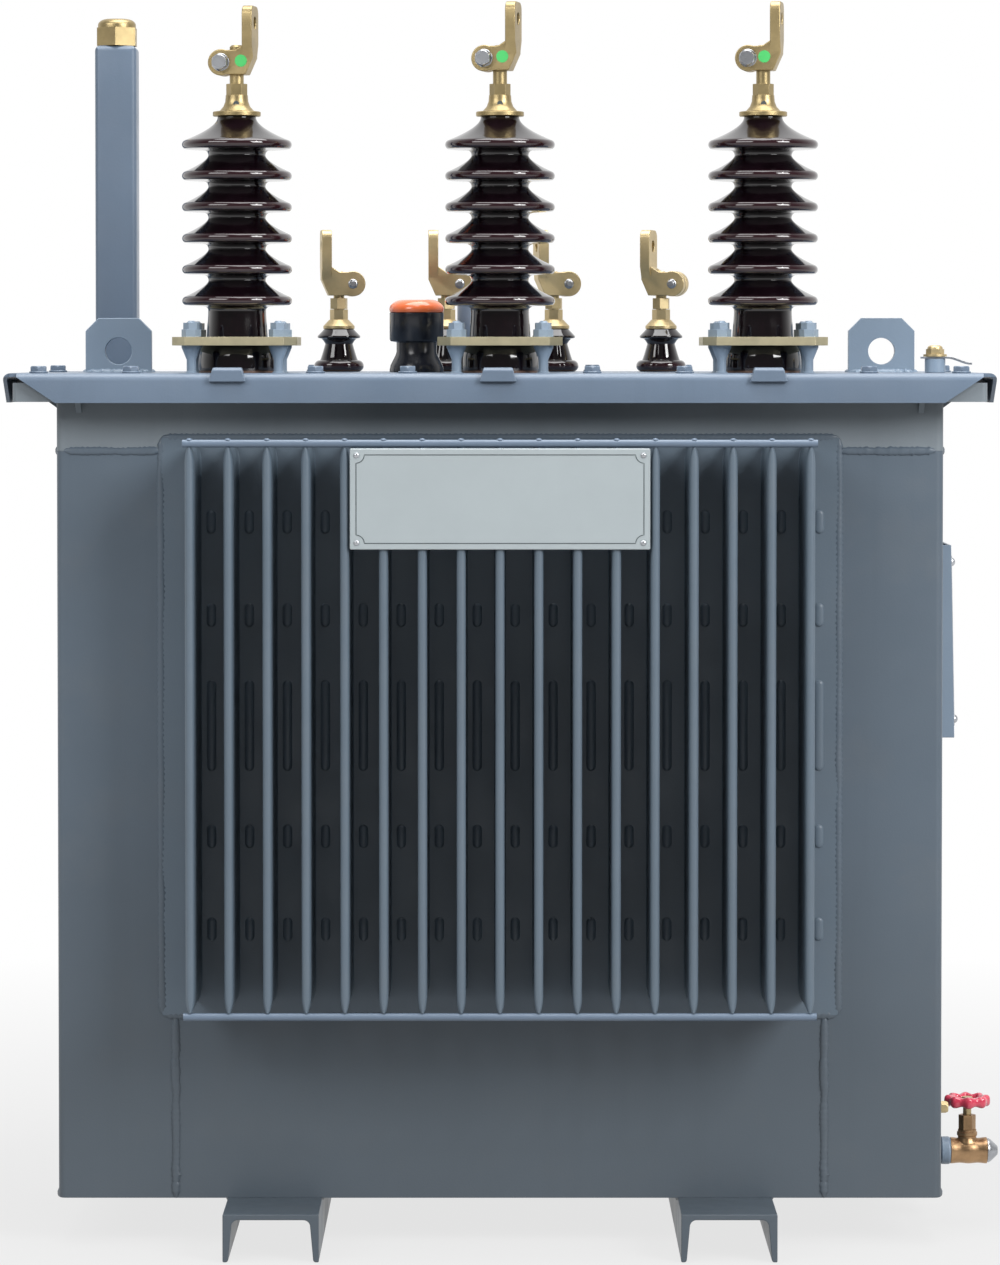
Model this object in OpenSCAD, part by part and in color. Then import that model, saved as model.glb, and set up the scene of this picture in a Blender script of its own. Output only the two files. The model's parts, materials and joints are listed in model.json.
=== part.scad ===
// Oil-filled distribution transformer with corrugated cooling fins.
// Front faces -Y, +X is to the right, +Z is up. Millimetres.
// The origin lies on the ground, under the middle of the tank.

/* [Base channels] */
// distance from the tank's end to the centre line of a base channel
channel_inset = 229; // [120:1:300]
// length of a base channel, front to rear
channel_length = 604; // [420:1:800]
// width over the legs of a base channel
channel_width = 100; // [80:1:140]
// height of a base channel
channel_height = 50; // [40:1:80]
// thickness of the channel's web
channel_web = 6; // [4:0.5:10]
// thickness of the channel's legs at the web
channel_leg = 9; // [7:0.5:12]
// thickness of the channel's legs at their toes
channel_toe = 6; // [5:0.5:7]
// radius of the rounded inner edge of a toe
channel_toe_r = 3; // [1:0.5:4]
// radius of the root between web and leg
channel_root_r = 7; // [4:0.5:9]

/* [Tank] */
// outside width of the tank
tank_width = 934; // [860:1:1300]
// outside depth of the tank without its fins
tank_depth = 400; // [360:1:600]
// height from the tank's underside to the top of its rim
tank_height = 862; // [700:1:1100]
// thickness of the tank's plates
wall_t = 4; // [3:0.5:6]
// outside radius of the bent corners of the tank
corner_r = 8; // [7:0.5:16]
// thickness of the floor plate
floor_t = 6; // [4:0.5:12]
// height of the plain collar under the rim
collar_height = 64; // [50:1:110]

/* [Rim and gussets] */
// how far the rim stands out from the tank
rim_reach = 42; // [38:1:60]
// thickness of the rim
rim_t = 8; // [6:0.5:12]
// height of the lip that hangs from the rim's edge
rim_lip = 12; // [8:0.5:16]
// thickness of that lip
rim_lip_t = 5; // [3:0.5:8]
// radius of the rim's corners
rim_corner_r = 6; // [6:0.5:12]
// reach of a rim gusset
gusset_reach = 30; // [20:1:36]
// drop of a rim gusset
gusset_drop = 24; // [16:1:40]
// thickness of a rim gusset
gusset_t = 6; // [4:0.5:10]
// blunt edge at the nose of a rim gusset
gusset_nose = 2; // [1:0.5:6]
// distance from the tank's corner to the gussets on the long sides
gusset_inset = 24; // [16:1:60]
// distance between the two gussets on an end
gusset_spread = 240; // [160:1:320]

/* [Cover] */
// thickness of the gasket between rim and cover
gasket_t = 6; // [3:0.5:10]
// distance from the rim's edge to the gasket's edge
gasket_inset = 5; // [2:0.5:12]
// thickness of the cover
cover_t = 4; // [3:0.5:6]
// outside radius of the cover's folded edge
bend_r = 8; // [7:0.5:10]
// gap between the rim's edge and the cover's skirt
skirt_gap = 6.5; // [3:0.5:12]
// height of the cover's skirt, from the cover's top
skirt_drop = 31; // [24:1:45]
// distance from the cover's corner to the end of a skirt
skirt_notch = 15.5; // [10:0.5:30]
// how far the slanted end of a skirt runs
skirt_slant = 42; // [20:1:60]
// length of an edge tab
tab_length = 39; // [24:1:60]
// thickness of an edge tab on the cover
tab_t = 6; // [4:0.5:10]
// how far an edge tab reaches over the cover
tab_reach = 14; // [10:0.5:20]
// bevel on the outer edge of an edge tab
tab_bevel = 3; // [1:0.5:4]
// how much an edge tab narrows on each side towards its top
tab_slant = 4.5; // [1:0.5:8]
// offset of the middle tab from the centre line
tab_shift = -2; // [-40:1:40]
// distance from the middle tab to the outer tabs
tab_spacing = 282; // [200:1:340]

/* [Fin panels] */
// distance from fin to fin
fin_pitch = 40; // [36:1:60]
// thickness of a fin
fin_t = 10.4; // [8:0.1:14]
// depth of a fin, from the tank's face to its tip
fin_depth = 120; // [60:1:160]
// length over which the ends of a fin are pinched
fin_pinch = 18; // [10:1:30]
// thickness of a fin at its pinched ends
fin_edge = 3; // [2:0.1:5]
// thickness of the panel's sheet
panel_t = 2; // [1:0.1:3]
// flat strip between the outer fin's middle and the panel's side edge
panel_margin = 36.5; // [30:0.5:60]
// least width of the plain strip beside a panel
side_strip = 108.5; // [80:0.5:160]
// height of the panel's lower edge above the tank's underside
panel_base = 194; // [120:1:260]
// overlap of the panel on the plates around its opening
panel_lap = 14; // [8:1:24]
// flat strip below the fins
panel_foot = 17.6; // [14:0.1:30]
// flat strip above the fins
panel_head = 8; // [8:0.1:20]
// diameter of the rods that tie the fins' ends
rod_d = 8; // [5:0.5:12]
// how far a rod stands past the outer fin's middle
rod_over = 7; // [6:0.5:20]
// width of a stiffening bead between the fins
bead_w = 10; // [6:0.5:14]
// height of a stiffening bead
bead_h = 3; // [1.5:0.5:4]
// length of a short bead
bead_short = 25; // [16:1:36]
// length of the long middle bead
bead_long = 96; // [60:1:140]
// offset of a bead from its fin's middle
bead_shift = 16; // [13:0.5:24]

/* [Sign plate] */
// width of the plate on the fins
sign_w = 309; // [200:1:400]
// height of the plate on the fins
sign_h = 104; // [60:1:140]
// thickness of the plate on the fins
sign_t = 3; // [2:0.5:6]

/* [Cover fittings] */
// distance from the tank's end to the middle of a lifting lug
lug_inset = 51; // [45:1:90]
// width of a lifting lug
lug_w = 72; // [60:1:90]
// height of a lifting lug
lug_h = 59; // [54:1:90]
// thickness of a lifting lug
lug_t = 12; // [8:0.5:20]
// diameter of the hole in a lifting lug
lug_hole = 29; // [20:0.5:34]
// height of the hole's middle above the cover
lug_hole_z = 23; // [20:0.5:34]
// length of the slanted corners of a lug
lug_corner = 14; // [6:0.5:18]
// side of the square filler pipe
filler_side = 46; // [36:1:60]
// height of the filler pipe
filler_h = 361; // [200:1:420]
// wall of the filler pipe
filler_wall = 4; // [3:0.5:6]
// outside radius of the filler pipe's corners
filler_corner_r = 6; // [6:0.5:10]
// radius of the edges round the filler pipe's top
filler_top_r = 7; // [3:0.5:10]
// distance from the tank's end to the filler pipe's middle
filler_inset = 42; // [34:1:80]
// distance from the middle to the filler pipe, to the rear
filler_y = 100; // [70:1:140]
// width over the corners of the filler cap
filler_cap_d = 49; // [30:1:52]
// height of the filler cap's hexagon
filler_cap_h = 20; // [12:1:30]
// height of the filler cap's dome
filler_dome_h = 10; // [6:1:16]
// diameter of the filler cap's dome
filler_dome_d = 42; // [24:0.5:42]
// place of the relief valve along the cover
relief_x = -91; // [-120:1:-80]
// diameter of the relief valve's drum
relief_d = 59; // [48:1:66]
// height of the relief valve without its cap
relief_h = 65; // [50:1:80]
// diameter of the relief valve's waist
relief_waist = 44; // [36:1:46]
// height of the relief valve's domed cap
relief_cap_h = 14; // [8:1:20]
// height of the upright skirt of the relief valve's cap
relief_skirt = 3; // [1:0.5:5]
// place of the tap changer post along the cover
tap_x = -22; // [-30:1:30]
// place of the tap changer post across the cover
tap_y = 45; // [30:1:60]
// diameter of the tap changer post
tap_d = 50; // [40:1:56]
// height of the tap changer post
tap_h = 80; // [50:1:90]

/* [High-voltage bushings] */
// distance between high-voltage bushings
hv_spacing = 280; // [240:1:320]
// distance from the tank's front face to the bushings' row
hv_inset = 70; // [60:1:90]
// diameter of the porcelain's foot
hv_foot_d = 82; // [76:1:88]
// height of the porcelain's foot
hv_foot_h = 29; // [24:0.5:40]
// diameter of the shoulder under the clamp plate
hv_shoulder_d = 71; // [69:0.5:75]
// diameter of the neck inside the clamp plate
hv_neck_d = 65; // [60:0.5:66]
// diameter of the core between the sheds
hv_core_d = 61; // [56:0.5:64]
// diameter of the sheds
hv_shed_d = 117; // [100:1:130]
// radius of the round rim of a shed
shed_rim_r = 5.2; // [3:0.1:7]
// how strongly a shed's upper slope is hollowed, where 1 is a straight cone
shed_hollow = 1.5; // [1:0.05:2.5]
// how strongly the slope of the top cone is hollowed
cone_hollow = 1.25; // [1:0.05:2.5]
// number of sheds
hv_shed_count = 6; // [3:1:9]
// distance from shed to shed
hv_shed_pitch = 33.2; // [30:0.1:45]
// height of the lowest shed's rim above the cover
hv_first_shed = 76.5; // [72:0.5:100]
// diameter of the porcelain's top
hv_top_d = 41; // [34:1:46]
// rise from the top shed's rim to the porcelain's top
hv_top_rise = 30; // [24:0.5:40]
// width of the clamp plate
clamp_w = 132; // [126:1:150]
// thickness of the clamp plate
clamp_t = 9; // [6:0.5:14]
// length of the cut corners of the clamp plate
clamp_corner = 14; // [6:0.5:18]
// distance of the clamp's studs from the bushing's axis, along each side
stud_offset = 46; // [44:0.5:50]
// diameter of the clamp's studs
stud_d = 10; // [8:0.5:12]
// width over the corners of a stud's nut
stud_nut = 20.8; // [18:0.1:24]
// height of a stud's nut
stud_nut_h = 8; // [6:0.5:12]
// width over the corners of the cap nut on a stud
stud_cap = 17.6; // [14:0.1:20]
// length of stud above its nut
stud_end = 9; // [4:0.5:14]

/* [Low-voltage bushings] */
// distance between low-voltage bushings
lv_spacing = 120; // [100:1:140]
// distance from the tank's rear face to the bushings' row
lv_inset = 70; // [55:1:80]
// diameter of the porcelain's foot
lv_foot_d = 55.5; // [42:0.5:58]
// diameter of the waist above the foot
lv_waist_d = 31; // [28:0.5:36]
// height of the waist
lv_waist_h = 31.5; // [22:0.5:40]
// diameter of the collar
lv_shed_d = 48; // [40:0.5:52]
// height of the porcelain
lv_h = 48; // [44:0.5:60]
// radius of the rolled foot of a low-voltage bushing
lv_roll_r = 6.5; // [4:0.5:8]

/* [Terminals] */
// diameter of a high-voltage stem
hv_stem_d = 15; // [10:0.5:16]
// diameter of the brass cap on the high-voltage porcelain
hv_cap_d = 51; // [42:1:54]
// height of that cap
hv_cap_h = 22.5; // [16:0.5:30]
// thickness of the flange of a high-voltage cap
hv_flange_t = 5; // [3:0.5:8]
// height of the nut over that cap
hv_nut_h = 12; // [8:0.5:16]
// bare stem between the nut and the connector
hv_stem_gap = 13; // [6:0.5:20]
// diameter of a low-voltage stem
lv_stem_d = 12; // [8:0.5:16]
// diameter of the brass washer on the low-voltage porcelain
lv_cap_d = 35; // [26:0.5:36]
// height of that washer
lv_cap_h = 10; // [6:0.5:14]
// height of the nuts over that washer
lv_nut_h = 24; // [12:0.5:28]
// bare stem between the nuts and the connector
lv_stem_gap = 2; // [1:0.5:8]
// width over the corners of a high-voltage stem's nut
hv_nut = 22.5; // [20:0.1:26]
// width over the corners of a low-voltage stem's nuts
lv_nut = 20.2; // [18:0.1:26]
// radius of a connector's round clamp end
boss_r = 14; // [13.5:0.5:18]
// distance from the stem to the middle of that end
boss_reach = 15; // [14:0.5:22]
// depth of a connector's clamp
conn_depth = 24; // [22:0.5:32]
// height of a connector's clamp beside its round end
conn_h = 26; // [20:0.5:27]
// width of the slit in a connector's clamp
conn_slit = 2.5; // [1.5:0.1:4]
// distance from the stem to the palm
palm_x = 9; // [8.5:0.5:16]
// thickness of a palm
palm_t = 11; // [8:0.5:16]
// width of a palm
palm_w = 36; // [28:1:44]
// height from the connector's lower edge to the palm's top
palm_h = 74; // [60:1:96]
// diameter of the hole in a palm
palm_hole = 13; // [9:0.5:15]
// distance from the palm's top to its hole
palm_hole_drop = 18; // [14:0.5:24]
// radius of a palm's upper corners
palm_corner = 9; // [4:0.5:12]
// width of the cut across a connector's lower corner
conn_cut = 8; // [4:0.5:10]
// height of that cut
conn_cut_h = 18; // [8:0.5:20]
// width of the sloped root between a connector's clamp and its palm
palm_root = 9; // [4:0.5:12]
// height of that root
palm_root_h = 6; // [3:0.5:10]

/* [Earth terminal] */
// distance from the tank's end to the earth boss
earth_inset = 2; // [0:0.5:8]
// place of the earth boss across the cover
earth_y = -114; // [-140:1:-80]
// diameter of the earth boss
earth_d = 22; // [18:0.5:28]
// height of the earth boss
earth_h = 15; // [12:0.5:24]
// thickness of the earth strap
strap_t = 2.2; // [1:0.1:3]
// width of the earth strap
strap_w = 16; // [10:0.5:22]
// length of the strap's flat end behind the bolt
strap_tail = 15; // [12:0.5:20]
// length of the strap's bent run
strap_run = 26; // [16:0.5:30]
// drop of the strap's bent run
strap_drop = 6.5; // [3:0.5:8]
// width over the corners of the earth bolt's head
earth_bolt = 19.6; // [16:0.1:22]
// height of the earth bolt's head
earth_bolt_h = 12; // [8:0.5:16]
// diameter of the earth bolt's washer
earth_washer = 25; // [20:0.5:28]

/* [Plate bracket] */
// width of the bracket on the right end
bracket_w = 150; // [100:1:200]
// height of the bracket
bracket_h = 208; // [140:1:260]
// distance from the top of the tank's rim down to the bracket's upper edge
bracket_drop = 176; // [80:1:360]
// reach of the bracket at its top
bracket_top = 19.5; // [16:0.5:32]
// reach of the bracket at its lower edge
bracket_foot = 23.5; // [16:0.5:36]
// thickness of the bracket's sheet
bracket_t = 3; // [2:0.5:5]
// gap between the bracket's edges and the plate on it
plate_edge = 12; // [6:0.5:20]
// thickness of the plate on the bracket
plate_t = 1.5; // [1:0.1:3]

/* [Drain valve] */
// place of the drain valve across the right end
drain_y = -60; // [-120:1:120]
// height of the drain above the tank's underside
drain_z = 28; // [20:0.5:60]
// diameter of the drain's pipe stub
drain_pipe_d = 24; // [20:0.5:28]
// diameter of the socket at the end of the drain stub
socket_d = 30; // [24:0.5:34]
// length of that socket
socket_l = 10; // [6:0.5:14]
// length of the drain's pipe stub
drain_pipe_l = 22; // [14:0.5:28]
// diameter of the valve's barrel
valve_d = 28.5; // [22:0.5:32]
// length of the valve's barrel
valve_l = 39; // [34:0.5:48]
// distance from the valve's left end to its stem
valve_stem = 18; // [16:0.5:24]
// diameter of the bonnet
bonnet_d = 20; // [17:0.5:24]
// height of the bonnet above the valve's axis
bonnet_h = 23; // [18:0.5:36]
// height of the ring round the bonnet
bonnet_ring = 7; // [4:0.5:10]
// diameter of that ring
ring_d = 22; // [18:0.5:26]
// width over the corners of the gland nut
gland_hex = 18.6; // [16:0.1:22]
// height of the gland nut
gland_h = 16; // [10:0.5:18]
// diameter of the valve's stem
stem_d = 9; // [7:0.5:11]
// running clearance of the stem in the gland, on the radius
stem_clear = 0.05; // [0.02:0.01:0.1]
// free height between the gland nut and the handwheel
wheel_lift = 10; // [5:0.5:14]
// diameter of the handwheel
wheel_d = 50; // [44:1:52]
// height of the handwheel's rim
wheel_h = 10.5; // [7:0.5:14]
// number of scallops round the handwheel
wheel_lobes = 8; // [5:1:12]
// width of the wheel's rim
wheel_rim = 9; // [6:0.5:12]
// thickness of the wheel's web
wheel_web = 4; // [3:0.5:6]
// height of the nut on the wheel's web
wheel_nut_h = 4.5; // [3:0.5:6]
// length of the plug in the valve's outlet
plug_l = 12; // [6:0.5:16]
// diameter of the plug
plug_d = 26; // [16:0.5:28]
// diameter of the plug's nose
plug_nose = 8; // [5:0.5:14]

/* [Hidden] */
$fn = 64;
// fit of still parts that pass through each other, on the radius
still_clear = 0.3;
// overlap of shapes that are joined into one solid
weld = 1;
// turn of each connector about its stem, in degrees
hv_turn = [-9, -12, -10];
lv_turn = [6, 1, 11, -16];
// how much lower each high-voltage connector sits on its stem
hv_drop = [4.5, 0, 0];
// middle heights of the beads, as shares of the panel's height, and which of them are long
bead_rows = [0.868, 0.713, 0.540, 0.360, 0.205];
bead_is_long = [false, false, true, false, false];

// inside radius of the rim lip's corners
lip_corner_r = 1;

z_floor = channel_height;
z_rim = z_floor + tank_height;
z_collar = z_rim - rim_t - collar_height;
z_cover = z_rim + gasket_t + cover_t;
half_w = tank_width / 2;
half_d = tank_depth / 2;
rim_w = tank_width + 2 * rim_reach;
rim_d = tank_depth + 2 * rim_reach;
cover_w = rim_w + 2 * (skirt_gap + cover_t);
cover_d = rim_d + 2 * (skirt_gap + cover_t);
fin_span = floor((tank_width - 2 * side_strip - 2 * panel_margin) / fin_pitch + 0.001) * fin_pitch;
fin_count = round(fin_span / fin_pitch) + 1;
panel_w = fin_span + 2 * panel_margin;
opening_w = panel_w - 2 * panel_lap;
z_panel = z_floor + panel_base;
panel_h = z_collar + panel_lap - z_panel;
fin_low = z_panel + panel_foot;
fin_top = z_panel + panel_h - panel_head;
tip_y = half_d + fin_depth;
hv_y = hv_inset - half_d;
lv_y = half_d - lv_inset;
hv_porcelain_h = hv_first_shed + (hv_shed_count - 1) * hv_shed_pitch + hv_top_rise;
hv_conn_z = hv_porcelain_h + hv_cap_h + hv_nut_h + hv_stem_gap;
lv_conn_z = lv_h + lv_cap_h + lv_nut_h + lv_stem_gap;
lug_x = half_w - lug_inset;
filler_x = filler_inset - half_w;
earth_x = half_w - earth_inset;
z_bracket = z_rim - bracket_drop - bracket_h;
drain_axis_z = z_floor + drain_z;
valve_x = half_w + drain_pipe_l;
stem_x = valve_x + valve_stem;
plug_x = valve_x + valve_l;
gland_z = drain_axis_z + bonnet_h;
wheel_z = gland_z + gland_h + wheel_lift;

paint = [0.52, 0.58, 0.63];
paint_light = [0.68, 0.74, 0.80];
brass = [0.72, 0.58, 0.30];
porcelain = [0.17, 0.10, 0.12];

// points of an arc about c, from angle a0 to a1
function arc(c, r, a0, a1, n = 6) =
    [for (i = [0:n]) c + r * [cos(a0 + (a1 - a0) * i / n), sin(a0 + (a1 - a0) * i / n)]];

// outline of a rectangle with round corners
function rounded(w, d, r) = concat(
    arc([w / 2 - r, d / 2 - r], r, 0, 90),
    arc([r - w / 2, d / 2 - r], r, 90, 180),
    arc([r - w / 2, r - d / 2], r, 180, 270),
    arc([w / 2 - r, r - d / 2], r, 270, 360)
);

function reverse(list) = [for (i = [len(list) - 1:-1:0]) list[i]];
function flip(list) = [for (p = reverse(list)) [-p[0], p[1]]];

// a flat ring between two round-cornered rectangles
module ring_plate(outer, inner, h) {
    linear_extrude(h) difference() {
        polygon(outer);
        polygon(inner);
    }
}

// a plate drawn in the XZ plane, t thick and centred on Y = 0
module upright(t) {
    translate([0, t / 2, 0]) rotate([90, 0, 0]) linear_extrude(t) children();
}

// base channel: legs down, toes and roots rounded as on a rolled section
function channel_half() = concat(
    [[channel_width / 2, channel_height], [channel_width / 2, 0]],
    arc([channel_width / 2 - channel_toe + channel_toe_r, channel_toe_r], channel_toe_r, 270, 180),
    arc([channel_width / 2 - channel_leg - channel_root_r, channel_height - channel_web - channel_root_r],
        channel_root_r, 0, 90)
);

module base_channel(side) {
    color(paint) translate([side * (half_w - channel_inset), 0, 0])
        upright(channel_length) polygon(concat(channel_half(), flip(channel_half())));
}

module base_channel_left() { base_channel(-1); }
module base_channel_right() { base_channel(1); }

module tank_floor() {
    color(paint) translate([0, 0, z_floor]) linear_extrude(floor_t)
        polygon(rounded(tank_width - 2 * wall_t, tank_depth - 2 * wall_t, corner_r - wall_t));
}

// end wall: one plate bent round both corners, with returns to the opening's sides
module end_wall(side) {
    c = [half_w - corner_r, half_d - corner_r];
    edge = opening_w / 2;
    outer = concat([[edge, -half_d]], arc([c[0], -c[1]], corner_r, 270, 360),
        arc(c, corner_r, 0, 90), [[edge, half_d]]);
    inner = concat([[edge, half_d - wall_t]], arc(c, corner_r - wall_t, 90, 0),
        arc([c[0], -c[1]], corner_r - wall_t, 360, 270), [[edge, wall_t - half_d]]);
    color(paint) mirror([side < 0 ? 1 : 0, 0, 0])
        translate([0, 0, z_floor]) linear_extrude(z_collar - z_floor) polygon(concat(outer, inner));
}

module end_wall_left() { end_wall(-1); }
module end_wall_right() { end_wall(1); }

module lower_plate() {
    translate([-opening_w / 2, -half_d, z_floor])
        cube([opening_w, wall_t, panel_base + panel_lap]);
}

module front_lower_plate() { color(paint) lower_plate(); }
module rear_lower_plate() { color(paint) rotate([0, 0, 180]) lower_plate(); }

// gusset under the rim: dist is the tank's half size in the direction of angle
module gusset(angle, dist, along) {
    rotate([0, 0, angle]) translate([dist, along, z_rim - rim_t]) upright(gusset_t)
        polygon([[-weld, weld], [gusset_reach, weld], [gusset_reach, -gusset_nose], [0, -gusset_drop],
            [-weld, -gusset_drop]]);
}

// collar, rim and lip: the angle-iron frame that closes the tank's mouth
module top_frame() {
    inside = rounded(tank_width - 2 * wall_t, tank_depth - 2 * wall_t, corner_r - wall_t);
    color(paint) union() {
        translate([0, 0, z_collar])
            ring_plate(rounded(tank_width, tank_depth, corner_r), inside, collar_height + weld);
        translate([0, 0, z_rim - rim_t]) ring_plate(rounded(rim_w, rim_d, rim_corner_r), inside, rim_t);
        translate([0, 0, z_rim - rim_t - rim_lip]) ring_plate(rounded(rim_w, rim_d, rim_corner_r),
            rounded(rim_w - 2 * rim_lip_t, rim_d - 2 * rim_lip_t, lip_corner_r), rim_lip + weld);
        for (angle = [0, 180], along = [-1, 1]) gusset(angle, half_w, along * gusset_spread / 2);
        for (angle = [90, 270], along = [-1, 1])
            gusset(angle, half_d, along * (half_w - gusset_inset));
    }
}

// half outline of a fin seen from the front: full width, with ogive ends
function fin_half() = let (full = fin_t / 2, edge = fin_edge / 2, n = 4) concat(
    [for (i = [0:n]) [edge + (full - edge) * sin(90 * i / n),
        fin_low + fin_pinch * (1 - cos(90 * i / n)) * 0.6 + fin_pinch * 0.4 * i / n]],
    [for (i = [n:-1:0]) [edge + (full - edge) * sin(90 * i / n),
        fin_top - fin_pinch * (1 - cos(90 * i / n)) * 0.6 - fin_pinch * 0.4 * i / n]]
);

module fin() {
    intersection() {
        translate([0, panel_t / 2 - half_d - fin_depth / 2 - panel_t, 0])
            upright(fin_depth + weld) polygon(concat(fin_half(), flip(fin_half())));
        translate([0, 0, fin_low - weld]) linear_extrude(fin_top - fin_low + 2 * weld)
            polygon(concat([[-fin_t / 2, -half_d - panel_t / 2]],
                arc([0, fin_t / 2 - tip_y], fin_t / 2, 180, 360),
                [[fin_t / 2, -half_d - panel_t / 2]]));
    }
}

// pressed bead on the panel's sheet, a flat slug with round ends
module bead(length) {
    straight = length - bead_w;
    translate([0, -half_d - panel_t * 0.75 - bead_h / 2, 0]) upright(bead_h + panel_t / 2)
        polygon(concat(arc([0, straight / 2], bead_w / 2, 0, 180),
            arc([0, -straight / 2], bead_w / 2, 180, 360)));
}

module fin_panel() {
    union() {
        translate([-panel_w / 2, -half_d - panel_t, z_panel]) cube([panel_w, panel_t, panel_h]);
        for (i = [0:fin_count - 1]) translate([i * fin_pitch - fin_span / 2, 0, 0]) {
            fin();
            for (k = [0:len(bead_rows) - 1]) translate([bead_shift, 0, z_panel + bead_rows[k] * panel_h])
                bead(bead_is_long[k] ? bead_long : bead_short);
        }
    }
}

module front_fin_panel() { color(paint) fin_panel(); }
module rear_fin_panel() { color(paint) rotate([0, 0, 180]) fin_panel(); }

// round rods across the upper and lower ends of the fins, close to their tips
module fin_rods() {
    length = fin_span + 2 * rod_over;
    color(paint) for (face = [-1, 1], z = [fin_low - rod_d / 2, fin_top + rod_d / 2])
        translate([-length / 2, face * (tip_y - rod_d / 2), z])
            rotate([0, 90, 0]) cylinder(d = rod_d, h = length);
}

module sign_plate() {
    color("whitesmoke") translate([-sign_w / 2, -tip_y - sign_t, fin_top - 1 - sign_h])
        cube([sign_w, sign_t, sign_h]);
}

module cover_gasket() {
    color([0.15, 0.15, 0.15]) translate([0, 0, z_rim])
        ring_plate(rounded(rim_w - 2 * gasket_inset, rim_d - 2 * gasket_inset, rim_corner_r),
            rounded(tank_width - 2 * wall_t, tank_depth - 2 * wall_t, corner_r - wall_t), gasket_t);
}

// folded edge of the cover with slanted ends, on the side that faces angle
module skirt(angle, half, length) {
    rotate([0, 0, angle]) translate([half - bend_r, 0, z_cover]) intersection() {
        upright(length) polygon(concat([[-weld, -cover_t], [-weld, 0]],
            arc([0, -bend_r], bend_r, 90, 0), [[bend_r, -skirt_drop], [bend_r - cover_t, -skirt_drop]],
            arc([0, -bend_r], bend_r - cover_t, 0, 90)));
        translate([-2 * weld, 0, 0]) rotate([90, 0, 90]) linear_extrude(bend_r + 4 * weld)
            polygon([[-length / 2, weld], [length / 2, weld], [length / 2, -cover_t],
                [length / 2 - skirt_slant, -skirt_drop - weld],
                [skirt_slant - length / 2, -skirt_drop - weld], [-length / 2, -cover_t]]);
    }
}

module cover() {
    color(paint_light) union() {
        translate([bend_r - cover_w / 2, bend_r - cover_d / 2, z_cover - cover_t])
            cube([cover_w - 2 * bend_r, cover_d - 2 * bend_r, cover_t]);
        for (angle = [0, 180]) skirt(angle, cover_w / 2, cover_d - 2 * skirt_notch);
        for (angle = [90, 270]) skirt(angle, cover_d / 2, cover_w - 2 * skirt_notch);
    }
}

// small tabs bent over the cover's front edge
module cover_tabs() {
    front = cover_d / 2;
    low = -bend_r - weld;
    w = tab_length / 2;
    color(paint_light) for (k = [-1:1]) translate([tab_shift + k * tab_spacing, 0, z_cover])
        rotate([0, 0, 270]) intersection() {
            upright(tab_length)
                polygon([[front - tab_reach, 0], [front - tab_reach, tab_t],
                    [front + tab_t - tab_bevel, tab_t], [front + tab_t, tab_t - tab_bevel],
                    [front + tab_t, low], [front, low], [front, 0]]);
            rotate([0, 0, 90]) upright(cover_d + 4 * tab_t)
                polygon([[-w, low], [w, low], [w - tab_slant, tab_t], [tab_slant - w, tab_t]]);
        }
}

module lifting_lug(side) {
    color(paint_light) translate([side * lug_x, 0, z_cover]) upright(lug_t) difference() {
        polygon([[-lug_w / 2, 0], [lug_w / 2, 0], [lug_w / 2, lug_h - lug_corner],
            [lug_w / 2 - lug_corner, lug_h], [lug_corner - lug_w / 2, lug_h],
            [-lug_w / 2, lug_h - lug_corner]]);
        translate([0, lug_hole_z]) circle(d = lug_hole);
    }
}

module lifting_lug_left() { lifting_lug(-1); }
module lifting_lug_right() { lifting_lug(1); }

// front outline of the filler pipe, with round upper corners
function filler_front() = let (side = filler_side / 2, r = filler_top_r, rise = filler_h - r) concat(
    [[-side - r, rise], [-side - r, -weld], [side + r, -weld], [side + r, rise]],
    arc([side - r, rise], r, 0, 90), arc([r - side, rise], r, 90, 180));

// square filler pipe, closed at its top round the cap
module filler_pipe() {
    inner = filler_side - 2 * filler_wall;
    color(paint_light) translate([filler_x, filler_y, z_cover]) difference() {
        intersection() {
            linear_extrude(filler_h) polygon(rounded(filler_side, filler_side, filler_corner_r));
            upright(filler_side + 2 * weld) polygon(filler_front());
            rotate([0, 0, 90]) upright(filler_side + 2 * weld) polygon(filler_front());
        }
        translate([0, 0, -weld]) linear_extrude(filler_h - filler_wall + weld)
            polygon(rounded(inner, inner, filler_corner_r - filler_wall + weld));
    }
}

// half outline of a flat-topped dome: upright skirt of height k, then an ellipse quarter to height h
function crown(r, h, k, flat = 0.5, n = 8) = [for (i = [0:n])
    [r * (flat + (1 - flat) * cos(90 * i / n)), k + (h - k) * sin(90 * i / n)]];

module filler_cap() {
    color(brass) translate([filler_x, filler_y, z_cover + filler_h]) union() {
        rotate([0, 0, 30]) cylinder(d = filler_cap_d, h = filler_cap_h, $fn = 6);
        translate([0, 0, filler_cap_h]) rotate_extrude()
            polygon(concat([[0, -weld], [filler_dome_d / 2, -weld]],
                crown(filler_dome_d / 2, filler_dome_h, filler_dome_h * 0.3), [[0, filler_dome_h]]));
    }
}

module relief_valve_body() {
    r = relief_d / 2;
    w = relief_waist / 2;
    color([0.12, 0.13, 0.15]) translate([relief_x, 0, z_cover]) rotate_extrude()
        polygon([[0, 0], [r, 0], [r, 3], [r - 1, relief_h * 0.12], [w + 1, relief_h * 0.29],
            [w, relief_h * 0.34], [w, relief_h * 0.5], [r - 1, relief_h * 0.52], [r, relief_h * 0.55],
            [r, relief_h - 0.5], [r - 0.5, relief_h], [0, relief_h]]);
}

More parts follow.
